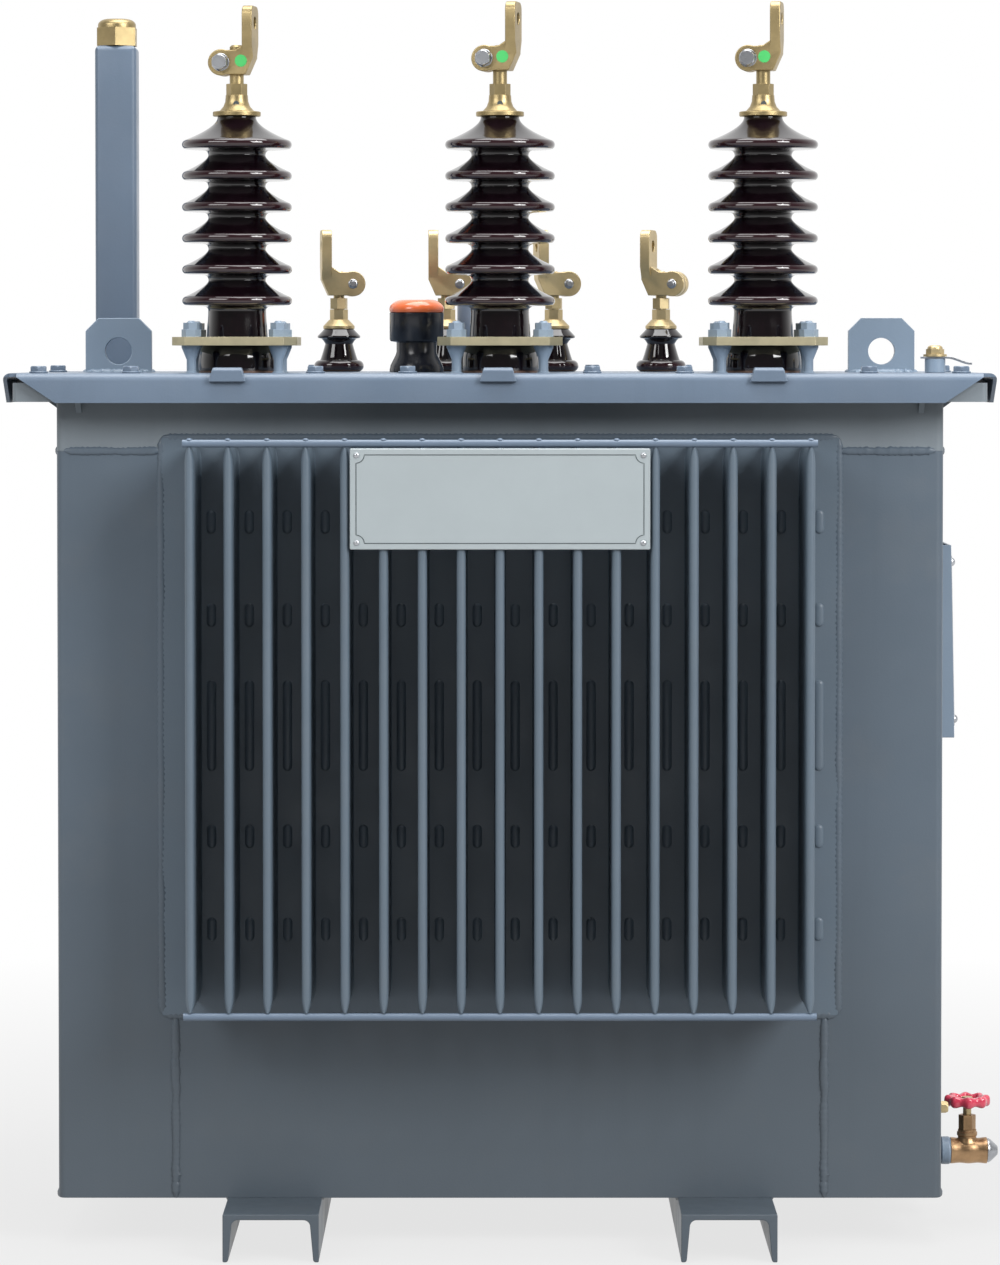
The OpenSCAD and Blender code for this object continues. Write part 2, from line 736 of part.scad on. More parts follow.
module relief_valve_cap() {
    color([0.93, 0.42, 0.16]) translate([relief_x, 0, z_cover + relief_h]) rotate_extrude()
        polygon(concat([[0, 0], [relief_d / 2 - 0.5, 0]],
            crown(relief_d / 2 + 0.5, relief_cap_h, relief_skirt), [[0, relief_cap_h]]));
}

module tap_changer_post() {
    r = tap_d / 2;
    color(paint) translate([tap_x, tap_y, z_cover]) rotate_extrude()
        polygon([[0, 0], [r, 0], [r, tap_h - 6], [r - 4, tap_h], [0, tap_h]]);
}

// half outline of one shed, rim at height z: flat underside, round rim, hollow slope to radius c at a rise
function shed(z, c, rise, hollow) = let (rim = hv_shed_d / 2, core = hv_core_d / 2, r = shed_rim_r) concat(
    [[core, z - r - 5], [core + 1.5, z - r - 1.8], [core + 5, z - r - 0.6], [rim - r - 2, z - r]],
    arc([rim - r, z], r, -60, 60, 5),
    [for (i = [1:6]) [c + (rim - r / 2 - c) * pow(1 - i / 6, hollow),
        z + r * sin(60) + (rise - r * sin(60)) * i / 6]]
);

// porcelain of a high-voltage bushing: foot, shoulder, neck, sheds and top cone
function hv_outline() = concat(
    [[0, 0], [hv_foot_d / 2 - 1, 0], [hv_foot_d / 2, 2]],
    [for (a = [0:18:90]) [(hv_shoulder_d + (hv_foot_d - hv_shoulder_d) * cos(a)) / 2,
        hv_foot_h * (0.35 + 0.65 * sin(a))]],
    [[hv_neck_d / 2, hv_foot_h], [hv_neck_d / 2, hv_foot_h + clamp_t + 3]],
    [for (k = [0:hv_shed_count - 1]) each shed(hv_first_shed + k * hv_shed_pitch,
        (k == hv_shed_count - 1 ? hv_top_d : hv_core_d) / 2,
        (k == hv_shed_count - 1 ? hv_top_rise : hv_shed_pitch - shed_rim_r - 5) - 1.7,
        k == hv_shed_count - 1 ? cone_hollow : shed_hollow)],
    [[hv_top_d / 2, hv_porcelain_h], [0, hv_porcelain_h]]
);

module hv_porcelain(k) {
    color(porcelain) translate([k * hv_spacing, hv_y, z_cover]) rotate_extrude() polygon(hv_outline());
}

module hv_porcelain_left() { hv_porcelain(-1); }
module hv_porcelain_middle() { hv_porcelain(0); }
module hv_porcelain_right() { hv_porcelain(1); }

// square clamp plates with cut corners, held on the porcelain's shoulder by four studs
module hv_clamp_plates() {
    h = clamp_w / 2;
    q = h - clamp_corner;
    color([0.78, 0.74, 0.55]) for (k = [-1:1])
        translate([k * hv_spacing, hv_y, z_cover + hv_foot_h]) difference() {
            linear_extrude(clamp_t)
                polygon([[h, -q], [h, q], [q, h], [-q, h], [-h, q], [-h, -q], [-q, -h], [q, -h]]);
            translate([0, 0, -weld]) cylinder(d = hv_neck_d + 2 * still_clear, h = clamp_t + 2 * weld);
            for (x = [-1, 1], y = [-1, 1]) translate([x * stud_offset, y * stud_offset, -weld])
                cylinder(d = stud_d + 2 * still_clear + 1, h = clamp_t + 2 * weld);
        }
}

// welded stud with a flared seat under the plate and a hexagon nut on it
module clamp_stud() {
    r = stud_d / 2;
    flare = stud_nut / 2;
    top = hv_foot_h + clamp_t;
    union() {
        rotate_extrude() polygon([[0, 0], [r + 2, 0], [r, 2], [r, hv_foot_h * 0.48],
            [flare, hv_foot_h - 2], [flare, hv_foot_h], [r, hv_foot_h], [r, top + stud_nut_h + stud_end - 2],
            [r - 2, top + stud_nut_h + stud_end], [0, top + stud_nut_h + stud_end]]);
        translate([0, 0, top]) cylinder(d = stud_nut, h = stud_nut_h, $fn = 6);
        translate([0, 0, top + stud_nut_h - weld]) rotate([0, 0, 15])
            cylinder(d = stud_cap, h = stud_end - 2 + weld, $fn = 6);
    }
}

module hv_clamp_studs() {
    color(paint) for (k = [-1:1], x = [-1, 1], y = [-1, 1])
        translate([k * hv_spacing + x * stud_offset, hv_y + y * stud_offset, z_cover]) clamp_stud();
}

// brass cap, nut and stem of a high-voltage bushing
module hv_stems() {
    c = hv_cap_d / 2;
    s = hv_stem_d / 2;
    end = hv_cap_h + hv_nut_h + hv_stem_gap + boss_r + conn_h / 2 + 1;
    color(brass) for (k = [-1:1]) translate([k * hv_spacing, hv_y, z_cover + hv_porcelain_h]) union() {
        rotate_extrude() polygon([[0, 0], [c - 0.6, 0], [c, 0.6], [c, hv_flange_t - 0.6],
            [c - 0.6, hv_flange_t], [c * 0.72, hv_flange_t + 0.8], [c * 0.56, hv_cap_h * 0.46],
            [c * 0.48, hv_cap_h * 0.7], [c * 0.46, hv_cap_h], [s, hv_cap_h], [s, end - 2], [s - 2, end],
            [0, end]]);
        translate([0, 0, hv_cap_h - weld]) cylinder(d = hv_nut, h = hv_nut_h + weld, $fn = 6);
    }
}

// connector: slit clamp with a round bolted end, and a drilled palm that stands up beside the stem
module connector(side, stem) {
    mid = boss_r;
    low = mid - conn_h / 2;
    top = mid + conn_h / 2;
    mirror([side < 0 ? 1 : 0, 0, 0]) difference() {
        union() {
            translate([-boss_reach, conn_depth / 2, mid]) rotate([90, 0, 0])
                cylinder(r = boss_r, h = conn_depth);
            upright(conn_depth) polygon([[-boss_reach, low], [palm_x + palm_t - conn_cut, low],
                [palm_x + palm_t, low + conn_cut_h], [palm_x + palm_t, top + palm_root_h + weld],
                [palm_x, top + palm_root_h], [palm_x - palm_root, top], [-boss_reach, top]]);
            translate([palm_x, 0, 0]) rotate([90, 0, 90]) linear_extrude(palm_t)
                polygon(concat([[-palm_w / 2, top + palm_root_h], [-conn_depth / 2, top - palm_root_h]],
                    [[conn_depth / 2, top - palm_root_h], [palm_w / 2, top + palm_root_h]],
                    arc([palm_w / 2 - palm_corner, palm_h - palm_corner], palm_corner, 0, 90),
                    arc([palm_corner - palm_w / 2, palm_h - palm_corner], palm_corner, 90, 180)));
        }
        translate([0, 0, -weld]) cylinder(d = stem + 2 * still_clear, h = mid + conn_h);
        translate([-boss_reach - boss_r - weld, -conn_slit / 2, -weld])
            cube([boss_reach + boss_r + weld, conn_slit, 2 * boss_r + 2 * weld]);
        translate([palm_x - weld, 0, palm_h - palm_hole_drop]) rotate([0, 90, 0])
            cylinder(d = palm_hole, h = palm_t + 2 * weld);
    }
}

module hv_connectors() {
    color(brass) for (k = [0:2]) translate([(k - 1) * hv_spacing, hv_y, z_cover + hv_conn_z - hv_drop[k]])
        rotate([0, 0, hv_turn[k]]) connector(1, hv_stem_d);
}

// porcelain of a low-voltage bushing: bell foot, waist and round collar
module lv_porcelain() {
    f = lv_foot_d / 2;
    w = lv_waist_d / 2;
    s = lv_shed_d / 2;
    color(porcelain) for (k = [-1.5:1.5]) translate([k * lv_spacing, lv_y, z_cover]) rotate_extrude()
        polygon(concat([[0, 0]], arc([f - lv_roll_r, lv_roll_r], lv_roll_r, -90, 95),
            [[w, lv_waist_h - 1], [w, lv_waist_h], [s - 5, lv_waist_h + 5]],
            arc([s - 2, lv_waist_h + 7.5], 2, -50, 50, 4), [[w + 2, lv_h - 1.5], [w + 1, lv_h], [0, lv_h]]));
}

module lv_stems() {
    c = lv_cap_d / 2;
    s = lv_stem_d / 2;
    end = lv_cap_h + lv_nut_h + lv_stem_gap + boss_r + conn_h / 2 + 1;
    color(brass) for (k = [-1.5:1.5]) translate([k * lv_spacing, lv_y, z_cover + lv_h]) union() {
        rotate_extrude() polygon([[0, 0], [c, 0], [c, 3], [c * 0.62, lv_cap_h], [s, lv_cap_h],
            [s, end - 2], [s - 2, end], [0, end]]);
        translate([0, 0, lv_cap_h - weld]) cylinder(d = lv_nut, h = lv_nut_h / 2 - 0.5 + weld, $fn = 6);
        translate([0, 0, lv_cap_h + lv_nut_h / 2]) rotate([0, 0, 20])
            cylinder(d = lv_nut, h = lv_nut_h / 2, $fn = 6);
    }
}

module lv_connectors() {
    color(brass) for (k = [0:3]) translate([(k - 1.5) * lv_spacing, lv_y, z_cover + lv_conn_z])
        rotate([0, 0, lv_turn[k]]) connector(-1, lv_stem_d);
}

module earth_boss() {
    color(paint_light) translate([earth_x, earth_y, z_cover]) cylinder(d = earth_d, h = earth_h);
}

// upper edge of the strap: flat on the boss, then an S-bend down to the cover's edge bolts
function strap_path() = concat([[-strap_tail, 0], [earth_d / 2 + 2, 0]],
    [for (i = [1:8]) [earth_d / 2 + 2 + strap_run * i / 8, -strap_drop * (1 - cos(180 * i / 8)) / 2]]);

module earth_strap() {
    low = strap_path();
    color([0.75, 0.78, 0.76]) translate([earth_x, earth_y, z_cover + earth_h]) upright(strap_w)
        polygon(concat(low, [for (p = reverse(low)) p + [0, strap_t]]));
}

module earth_bolt() {
    color(brass) translate([earth_x, earth_y, z_cover + earth_h + strap_t]) union() {
        cylinder(d = earth_washer, h = 2.5);
        cylinder(d = earth_bolt, h = earth_bolt_h - 4, $fn = 6);
        translate([0, 0, earth_bolt_h - 4]) rotate_extrude()
            polygon(concat([[0, -weld], [earth_bolt * 0.42, -weld]], crown(earth_bolt * 0.42, 4, 0.5),
                [[0, 4]]));
    }
}

// bracket on the right end: a folded sheet that leans out towards its foot
module plate_bracket() {
    t = bracket_t;
    color(paint) translate([half_w, 0, z_bracket]) difference() {
        upright(bracket_w)
            polygon([[0, 0], [bracket_foot, 0], [bracket_top, bracket_h], [0, bracket_h]]);
        upright(bracket_w - 2 * t)
            polygon([[-t, -t], [bracket_foot - t, -t], [bracket_foot - t, 0], [bracket_top - t, bracket_h],
                [bracket_top - t, bracket_h + t], [-t, bracket_h + t]]);
    }
}

module bare_plate() {
    lean = (bracket_foot - bracket_top) / bracket_h;
    low = plate_edge;
    high = bracket_h - plate_edge;
    color("silver") translate([half_w + bracket_foot, 0, z_bracket])
        upright(bracket_w - 2 * plate_edge)
            polygon([[-lean * low, low], [plate_t - lean * low, low], [plate_t - lean * high, high],
                [-lean * high, high]]);
}

// a solid of revolution or hexagon about the drain's axis, from x to the right
module on_drain(x) {
    translate([x, drain_y, drain_axis_z]) rotate([0, 90, 0]) children();
}

module drain_stub() {
    r = drain_pipe_d / 2;
    color(paint) on_drain(half_w) rotate_extrude() polygon([[0, 0], [r, 0], [r, drain_pipe_l - socket_l - 2],
        [socket_d / 2, drain_pipe_l - socket_l], [socket_d / 2, drain_pipe_l - 2],
        [socket_d / 2 - 1.5, drain_pipe_l], [0, drain_pipe_l]]);
}

// half outline of the valve's barrel, a little waisted on both sides of its bonnet
function barrel() = let (r = valve_d / 2) [for (i = [0:12]) let (t = i / 12)
    [r - 0.8 * pow(sin(360 * t), 2), valve_l * t]];

// half outline of the bonnet: a cone that leaves the barrel, a ring and a collar under the gland nut
function bonnet() = let (b = bonnet_d / 2, q = ring_d / 2, low = bonnet_h - bonnet_ring) [[0, 0], [b + 2, 0],
    [b + 2, low * 0.55], [b, low - 2], [b, low], [q, low + 0.8], [q, bonnet_h - 2.8], [b, bonnet_h - 2],
    [b, bonnet_h], [0, bonnet_h]];

// cast gate valve: swelling barrel, bonnet with a ring round it and a gland nut bored for the stem
module drain_valve() {
    color(brass) difference() {
        union() {
            on_drain(valve_x) rotate_extrude() polygon(concat([[0, 0]], barrel(), [[0, valve_l]]));
            translate([stem_x, drain_y, drain_axis_z]) rotate_extrude() polygon(bonnet());
            translate([stem_x, drain_y, gland_z - weld])
                cylinder(d = gland_hex, h = gland_h + weld, $fn = 6);
        }
        translate([stem_x, drain_y, gland_z]) cylinder(d = stem_d + 2 * stem_clear, h = gland_h + weld);
    }
}

module drain_plug() {
    r = plug_d / 2;
    color([0.7, 0.72, 0.72]) on_drain(plug_x) rotate_extrude()
        polygon(concat([[0, 0], [r, 0], [r, plug_l * 0.2], [r - 1.5, plug_l * 0.4]],
            arc([plug_nose / 2, plug_l - 1.5], 1.5, 30, 90, 3), [[0, plug_l]]));
}

// scalloped outline of the handwheel's rim
function wheel_outline(n = 96) = [for (i = [0:n - 1]) let (a = 360 * i / n)
    (wheel_d / 2 - 1 + cos(a * wheel_lobes)) * [cos(a), sin(a)]];

module drain_handwheel() {
    inner = wheel_d / 2 - wheel_rim;
    color([0.78, 0.22, 0.25]) translate([stem_x, drain_y, wheel_z]) union() {
        linear_extrude(wheel_h) difference() {
            polygon(wheel_outline());
            circle(r = inner);
        }
        linear_extrude(wheel_web) difference() {
            circle(r = inner + weld);
            for (a = [45:90:315]) rotate(a) translate([inner * 0.68, 0]) circle(d = inner * 0.42);
        }
        cylinder(d = stem_d * 1.8, h = wheel_web + 1);
        translate([0, 0, wheel_web]) cylinder(d = stem_d * 1.5, h = wheel_nut_h + 1, $fn = 6);
        translate([0, 0, 0.5 - gland_h - wheel_lift])
            cylinder(d = stem_d, h = gland_h + wheel_lift + weld - 0.5);
    }
}

base_channel_left();
base_channel_right();
tank_floor();
end_wall_left();
end_wall_right();
front_lower_plate();
rear_lower_plate();
top_frame();
front_fin_panel();
rear_fin_panel();
fin_rods();
sign_plate();
cover_gasket();
cover();
cover_tabs();
lifting_lug_left();
lifting_lug_right();
filler_pipe();
filler_cap();
relief_valve_body();
relief_valve_cap();
tap_changer_post();
hv_porcelain_left();
hv_porcelain_middle();
hv_porcelain_right();
hv_clamp_plates();
hv_clamp_studs();
hv_stems();
hv_connectors();
lv_porcelain();
lv_stems();
lv_connectors();
earth_boss();
earth_strap();
earth_bolt();
plate_bracket();
bare_plate();
drain_stub();
drain_valve();
drain_plug();
drain_handwheel();
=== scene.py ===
import json
import math
from collections import namedtuple

import bmesh
import bpy
import numpy as np
from bpy.props import FloatProperty, FloatVectorProperty, IntProperty, PointerProperty
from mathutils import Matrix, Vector


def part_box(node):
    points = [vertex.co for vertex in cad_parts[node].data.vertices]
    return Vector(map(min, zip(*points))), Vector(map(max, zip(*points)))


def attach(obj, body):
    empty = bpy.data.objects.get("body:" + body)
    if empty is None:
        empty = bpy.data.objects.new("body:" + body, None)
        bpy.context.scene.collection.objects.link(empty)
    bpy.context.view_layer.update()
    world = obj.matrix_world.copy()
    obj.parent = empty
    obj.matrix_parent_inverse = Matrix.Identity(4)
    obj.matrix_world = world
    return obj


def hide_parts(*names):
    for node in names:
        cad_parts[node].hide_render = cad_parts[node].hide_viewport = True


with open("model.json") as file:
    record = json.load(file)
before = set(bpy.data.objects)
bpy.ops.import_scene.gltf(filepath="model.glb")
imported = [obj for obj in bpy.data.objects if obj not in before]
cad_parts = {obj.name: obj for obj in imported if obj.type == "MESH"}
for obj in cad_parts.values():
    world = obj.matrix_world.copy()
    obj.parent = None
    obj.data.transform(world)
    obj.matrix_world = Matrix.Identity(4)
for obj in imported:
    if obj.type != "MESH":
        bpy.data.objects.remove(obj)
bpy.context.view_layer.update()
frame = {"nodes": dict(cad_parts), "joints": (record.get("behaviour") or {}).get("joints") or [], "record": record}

bl_info = {
    "name": "Distribution transformer looks",
    "version": (1, 0, 0),
    "blender": (4, 5, 0),
    "location": "3D View > Sidebar > Transformer",
    "description": "Finishes, welds, bolts, glazed bushings and a studio for a distribution transformer",
    "category": "Object",
}

BODY = "transformer"
WHEEL_BODY = "handwheel"
MM = 0.001
TURN = 2 * math.pi


def low(node):
    """Lowest corner of a CAD node."""
    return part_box(node)[0]


def high(node):
    """Highest corner of a CAD node."""
    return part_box(node)[1]


def middle(node):
    """Middle of a CAD node's box."""
    return (low(node) + high(node)) / 2


# The cover's top is this far below the top of a lifting lug
LUG_RISE = 59 * MM
COVER_TOP = high("lifting_lug_left").z - LUG_RISE
TANK_END = high("end_wall_right").x
TANK_FACE = -high("end_wall_right").y
TANK_FLOOR = low("end_wall_left").z
COLLAR_SEAM = high("end_wall_left").z
HV_MIDDLE = middle("hv_porcelain_middle")
MOUNTS = {mount["name"]: mount for mount in frame["record"]["mounts"]}
HV_SIDES = ("left", "middle", "right")
HV_PALMS = ["hv_palm_" + side for side in HV_SIDES]
LV_PALMS = [f"lv_palm_{k}" for k in range(1, 5)]


def length(name, description, millimetres):
    """A size that a user may change, given in millimetres and kept in metres."""
    return FloatProperty(name=name, description=description, default=millimetres * MM, min=0.0,
                         precision=4, subtype="DISTANCE", unit="LENGTH")


def colour(name, description, value):
    """A colour that a user may change, as scene-linear red, green and blue."""
    return FloatVectorProperty(name=name, description=description, default=value, size=3, min=0.0,
                               max=1.0, subtype="COLOR")


def number(name, description, value, **limits):
    """A plain number that a user may change."""
    return FloatProperty(name=name, description=description, default=value, **limits)


def power(name, description, watts):
    """A lamp's power that a user may change."""
    return number(name, description, watts, min=0.0, unit="POWER")


class FinSizes(bpy.types.PropertyGroup):
    """Sizes of the corrugated fin panels"""

    pitch: length("Pitch", "Distance from fin to fin", 40)
    thickness: length("Thickness", "Thickness of a fin", 9.4)
    pinch: length("Pinch", "Length of a fin's pinched ends", 18)
    end_edge: length("End edge", "Thickness at the pinched ends", 3)
    root_flare: length("Root flare", "Bend where a fin meets the sheet", 2.5)
    margin: length("Margin", "From the outer fin's middle to the edge", 36.5)
    foot: length("Foot", "Flat strip below the fins", 17.6)
    head: length("Head", "Flat strip above the fins", 8)
    sheet: length("Sheet", "Thickness of the panel's sheet", 2)
    bead_width: length("Bead width", "Width of a pressed bead", 10)
    bead_height: length("Bead height", "Height of a pressed bead", 2.2)
    bead_short: length("Short bead", "Length of a short bead", 25)
    bead_long: length("Long bead", "Length of a long bead", 96)
    bead_shift: length("Bead shift", "From a fin's middle to its beads", 16)
    rod: length("Rod", "Diameter of the rods on the fins' ends", 8)


class PorcelainSizes(bpy.types.PropertyGroup):
    """Sizes of the glazed bushings, high-voltage first"""

    hv_foot: length("Foot", "Radius of the foot", 41)
    hv_foot_height: length("Foot height", "Height of the foot", 29)
    hv_shoulder: length("Shoulder", "Radius under the clamp plate", 35.5)
    hv_neck: length("Neck", "Radius inside the clamp plate", 32.5)
    hv_core: length("Core", "Radius between the sheds", 30.5)
    hv_rim: length("Rim", "Radius of a shed's round rim", 5.2)
    hv_shed: length("Shed", "Radius of a shed", 58.5)
    hv_pitch: length("Shed pitch", "Distance from shed to shed", 33.2)
    hv_first: length("First shed", "Height of the lowest shed's rim", 76.5)
    hv_top: length("Top", "Radius of the top", 20.5)
    hv_hollow: number("Shed hollow", "Hollow of a shed's slope, where 1 is straight", 1.5, min=1.0)
    hv_cone: number("Cone hollow", "Hollow of the top cone's slope", 1.7, min=1.0)
    hv_sheds: IntProperty(name="Sheds", description="Number of sheds", default=6, min=1)
    lv_foot: length("Low foot", "Radius of a low-voltage foot", 27.75)
    lv_waist: length("Low waist", "Radius of its waist", 15.5)
    lv_waist_height: length("Low waist height", "Height of its waist", 31.5)
    lv_shed: length("Low collar", "Radius of its collar", 24)
    lv_roll: length("Low roll", "Radius of its rolled foot", 6.5)
    lv_spacing: length("Low spacing", "Distance between low-voltage bushings", 120)


class FastenerSizes(bpy.types.PropertyGroup):
    """Sizes of bolts, rivets and welds"""

    cover_flats: length("Cover bolt", "Width across its flats", 16)
    cover_head: length("Cover bolt head", "Height of its head", 5.5)
    cover_washer: length("Cover washer", "Diameter of its washer", 20)
    cover_pitch: length("Cover bolt pitch", "From bolt to bolt along the front", 96.5)
    cover_rear_pitch: length("Rear bolt pitch", "From bolt to bolt along the rear", 105)
    cover_edge: length("Cover bolt edge", "From the cover's edge to its bolts", 23)
    clamp_flats: length("Clamp bolt", "Width across a clamp bolt's flats", 16)
    rivet: length("Rivet", "Diameter of a rivet's head", 6)
    weld_width: length("Weld width", "Width of a weld bead", 8.5)
    weld_height: length("Weld height", "Height of a weld bead", 2.4)
    weld_ripple: length("Weld ripple", "Distance from ripple to ripple", 6)


class FinishColours(bpy.types.PropertyGroup):
    """Colours of the paints, glaze and metals"""

    tank_paint: colour("Tank paint", "Paint of the tank", (0.086, 0.114, 0.146))
    # Fin paint is a lighter copy of the tank paint: painted light for the fins' brightly lit tips
    fin_paint: colour("Fin paint", "Cleaner paint on the fins", (0.100, 0.134, 0.170))
    # Collar paint is a much lighter copy of the tank paint: painted light that lifts the shade under the cover
    collar_paint: colour("Collar paint", "Faded paint under the cover", (0.175, 0.205, 0.230))
    # Cover paint is a lighter copy of the tank paint: painted light for the cover, its rods, bolts and fittings,
    # which catch more light than the tank's front
    cover_paint: colour("Cover paint", "Clean paint on the cover", (0.120, 0.163, 0.224))
    # Fitting paint is lighter still: painted light for the lugs, studs, bosses and bracket, which catch more light
    # than the tank's front
    fitting_paint: colour("Fitting paint", "Fresh paint on the fittings", (0.205, 0.268, 0.345))
    dust: colour("Dust", "Dry dust in patches", (0.170, 0.165, 0.155))
    porcelain: colour("Porcelain", "Dark brown glaze", (0.005, 0.0022, 0.0036))
    thin_glaze: colour("Thin glaze", "Glaze that thins on a rim", (0.028, 0.009, 0.012))
    bare_foot: colour("Bare foot", "Unglazed ring at the foot", (0.210, 0.125, 0.090))
    brass: colour("Brass", "Satin brass", (0.570, 0.455, 0.255))
    aged_brass: colour("Aged brass", "Darker satin brass", (0.400, 0.312, 0.160))
    bronze: colour("Bronze", "Cast valve bronze", (0.450, 0.285, 0.155))
    zinc: colour("Zinc", "Yellow-passivated zinc", (0.590, 0.530, 0.355))
    steel: colour("Steel", "Plated steel", (0.450, 0.465, 0.490))
    gasket: colour("Gasket", "Black rubber", (0.015, 0.015, 0.016))
    black: colour("Black", "Relief valve's moulding", (0.010, 0.012, 0.018))
    orange: colour("Orange", "Relief valve's cap", (0.900, 0.190, 0.060))
    enamel: colour("Enamel", "Pale enamel of the sign", (0.345, 0.388, 0.405))
    line: colour("Line", "Border line of the sign", (0.060, 0.075, 0.080))
    red: colour("Red", "Paint of the handwheel", (0.640, 0.050, 0.098))
    green: colour("Green", "Plain inspection dot", (0.060, 0.480, 0.120))


class StageSettings(bpy.types.PropertyGroup):
    """Camera, lamps and floor"""

    distance: length("Distance", "Distance from the camera to the object's middle", 5420)
    eye: length("Eye", "Height of the camera", 946.5)
    lens: number("Lens", "Focal length in millimetres", 141.2)
    shift: number("Shift", "Vertical shift of the lens", -0.09)
    aim: number("Aim", "Pitch of the camera below level", math.radians(1.95), subtype="ANGLE",
                unit="ROTATION")
    overhead: power("Overhead", "Power of the overhead lamp", 190.0)
    key: power("Key", "Power of the broad key lamp", 222.0)
    spark: power("Spark", "Power of the small lamp that glints on glaze and brass", 20.0)
    fill: power("Fill", "Power of the fill lamp", 120.0)
    sky: number("Sky", "Strength of the even light from all round", 0.43)
    floor: colour("Floor", "Pale floor", (0.28, 0.28, 0.28))


# Shapes: arrays of points, of faces with four corners and of faces with three
Shape = namedtuple("Shape", "points quads tris")


def grid(points):
    """Faces between neighbouring rows of points, whose columns close on themselves."""
    rows, columns = points.shape[:2]
    index = np.arange(rows * columns).reshape(rows, columns)
    index = np.column_stack([index, index[:, :1]])
    quads = np.stack([index[:-1, :-1], index[:-1, 1:], index[1:, 1:], index[1:, :-1]], -1)
    return Shape(points.reshape(-1, 3), quads.reshape(-1, 4), np.zeros((0, 3), int))


def tube(rings):
    """Closed skin over rings of points stacked along a path; the middle of each end ring closes that end."""
    count, sides = rings.shape[:2]
    skin = grid(rings)
    here = np.arange(sides)
    after = np.roll(here, -1)
    last = (count - 1) * sides
    first_pole = np.full(sides, count * sides)
    tris = np.concatenate([np.stack([first_pole, after, here], 1),
                           np.stack([first_pole + 1, last + here, last + after], 1)])
    points = np.concatenate([skin.points, rings[:1].mean(1), rings[-1:].mean(1)])
    return Shape(points, skin.quads, tris)


def hoop(rings):
    """Closed skin over rings of points whose last ring joins the first, like a bent tyre."""
    skin = grid(np.concatenate([rings, rings[:1]]))
    count = rings.shape[0] * rings.shape[1]
    return Shape(skin.points[:count], skin.quads % count, skin.tris)


def lathe(profile, sides=64):
    """Surface of revolution: each profile point's radius is swept once round Z at its height."""
    angle = np.linspace(0, TURN, sides, endpoint=False)
    radius, height = np.asarray(profile, float).T[:, :, None]
    return tube(np.stack(np.broadcast_arrays(radius * np.cos(angle), radius * np.sin(angle), height), -1))


def merged(shapes):
    """Several shapes as one."""
    starts = np.cumsum([0] + [len(shape.points) for shape in shapes])
    return Shape(np.concatenate([shape.points for shape in shapes]),
                 np.concatenate([shape.quads + start for shape, start in zip(shapes, starts)]),
                 np.concatenate([shape.tris + start for shape, start in zip(shapes, starts)]))


def copies(shape, places):
    """The same shape at each of the places, as one shape."""
    places = np.asarray(places, float).reshape(-1, 1, 3)
    step = (np.arange(len(places)) * len(shape.points)).reshape(-1, 1, 1)
    return Shape((shape.points + places).reshape(-1, 3), (shape.quads + step).reshape(-1, 4),
                 (shape.tris + step).reshape(-1, 3))


def moved(shape, place):
    """The shape carried to a place."""
    return shape._replace(points=shape.points + np.asarray(place, float))


def turned(shape, angle):
    """The shape turned about Z by an angle in radians."""
    cos, sin = math.cos(angle), math.sin(angle)
    return shape._replace(points=shape.points @ np.array([[cos, sin, 0], [-sin, cos, 0], [0, 0, 1]]))


def pointed(shape, direction):
    """The shape with its Z axis swung to a level direction and its Y axis to upright."""
    across = np.array([-direction[1], direction[0], 0.0])
    axes = np.array([across, [0.0, 0.0, 1.0], [direction[0], direction[1], 0.0]])
    return shape._replace(points=shape.points @ axes)


def eased(points, passes=2):
    """Corner cutting: each pass swaps a corner for points a quarter along its two sides; the ends stay."""
    points = np.asarray(points, float)
    for _ in range(passes):
        before, after = points[:-1], points[1:]
        cut = np.stack([0.75 * before + 0.25 * after, 0.25 * before + 0.75 * after], 1).reshape(-1, 2)
        points = np.concatenate([points[:1], cut, points[-1:]])
    return points


def arc(centre, radius, start, end, count=8):
    """Points on an arc about a centre, with its angles in degrees."""
    angle = np.radians(np.linspace(start, end, count))
    return np.asarray(centre) + radius * np.stack([np.cos(angle), np.sin(angle)], 1)


def rounded_outline(width, height, radius, count=6):
    """Rectangle with round corners, counter-clockwise from its right side."""
    x, y = width / 2 - radius, height / 2 - radius
    corners = [((x, y), 0), ((-x, y), 90), ((-x, -y), 180), ((x, -y), 270)]
    return np.concatenate([arc(centre, radius, start, start + 90, count) for centre, start in corners])


def plate(width, height, thickness, corner, edge):
    """Flat plate with round corners: its outline rises from an inset edge to full size and back."""
    inset = rounded_outline(width - 2 * edge, height - 2 * edge, max(corner - edge, 0.1 * MM))
    full = rounded_outline(width, height, corner)
    levels = [(inset, 0), (full, edge), (full, thickness - edge), (inset, thickness)]
    return tube(np.stack([np.column_stack([line, np.full(len(line), z)]) for line, z in levels]))


def hexagon_head(flats, height, sides=48):
    """Bolt head: a hexagon's radius, cut by a cone that narrows over the top quarter of the height."""
    angle = np.linspace(0, TURN, sides, endpoint=False)
    wall = flats / 2 / np.cos((angle + math.pi / 6) % (math.pi / 3) - math.pi / 6)
    rise = np.array([0, 0.05, 0.72, 0.78, 0.84, 0.90, 0.96, 1.0])
    cone = flats / 2 * np.interp(rise, [0, 0.05, 0.72, 1.0], [1.12, 1.16, 1.16, 0.93])
    radius = np.minimum(wall[None, :], cone[:, None])
    level = np.outer(rise * height, np.ones(sides))
    return tube(np.stack([radius * np.cos(angle), radius * np.sin(angle), level], -1))


def washer(diameter, thickness):
    """Flat washer with eased edges, as a disc under its bolt."""
    radius, ease = diameter / 2, thickness * 0.3
    inner = radius - ease
    return lathe([(inner, 0), (radius, ease), (radius, thickness - ease), (inner, thickness)], 40)


def bolt(flats, head, washer_d, washer_t):
    """Hexagon bolt on its washer, standing on Z = 0."""
    return merged([washer(washer_d, washer_t), moved(hexagon_head(flats, head), (0, 0, washer_t))])


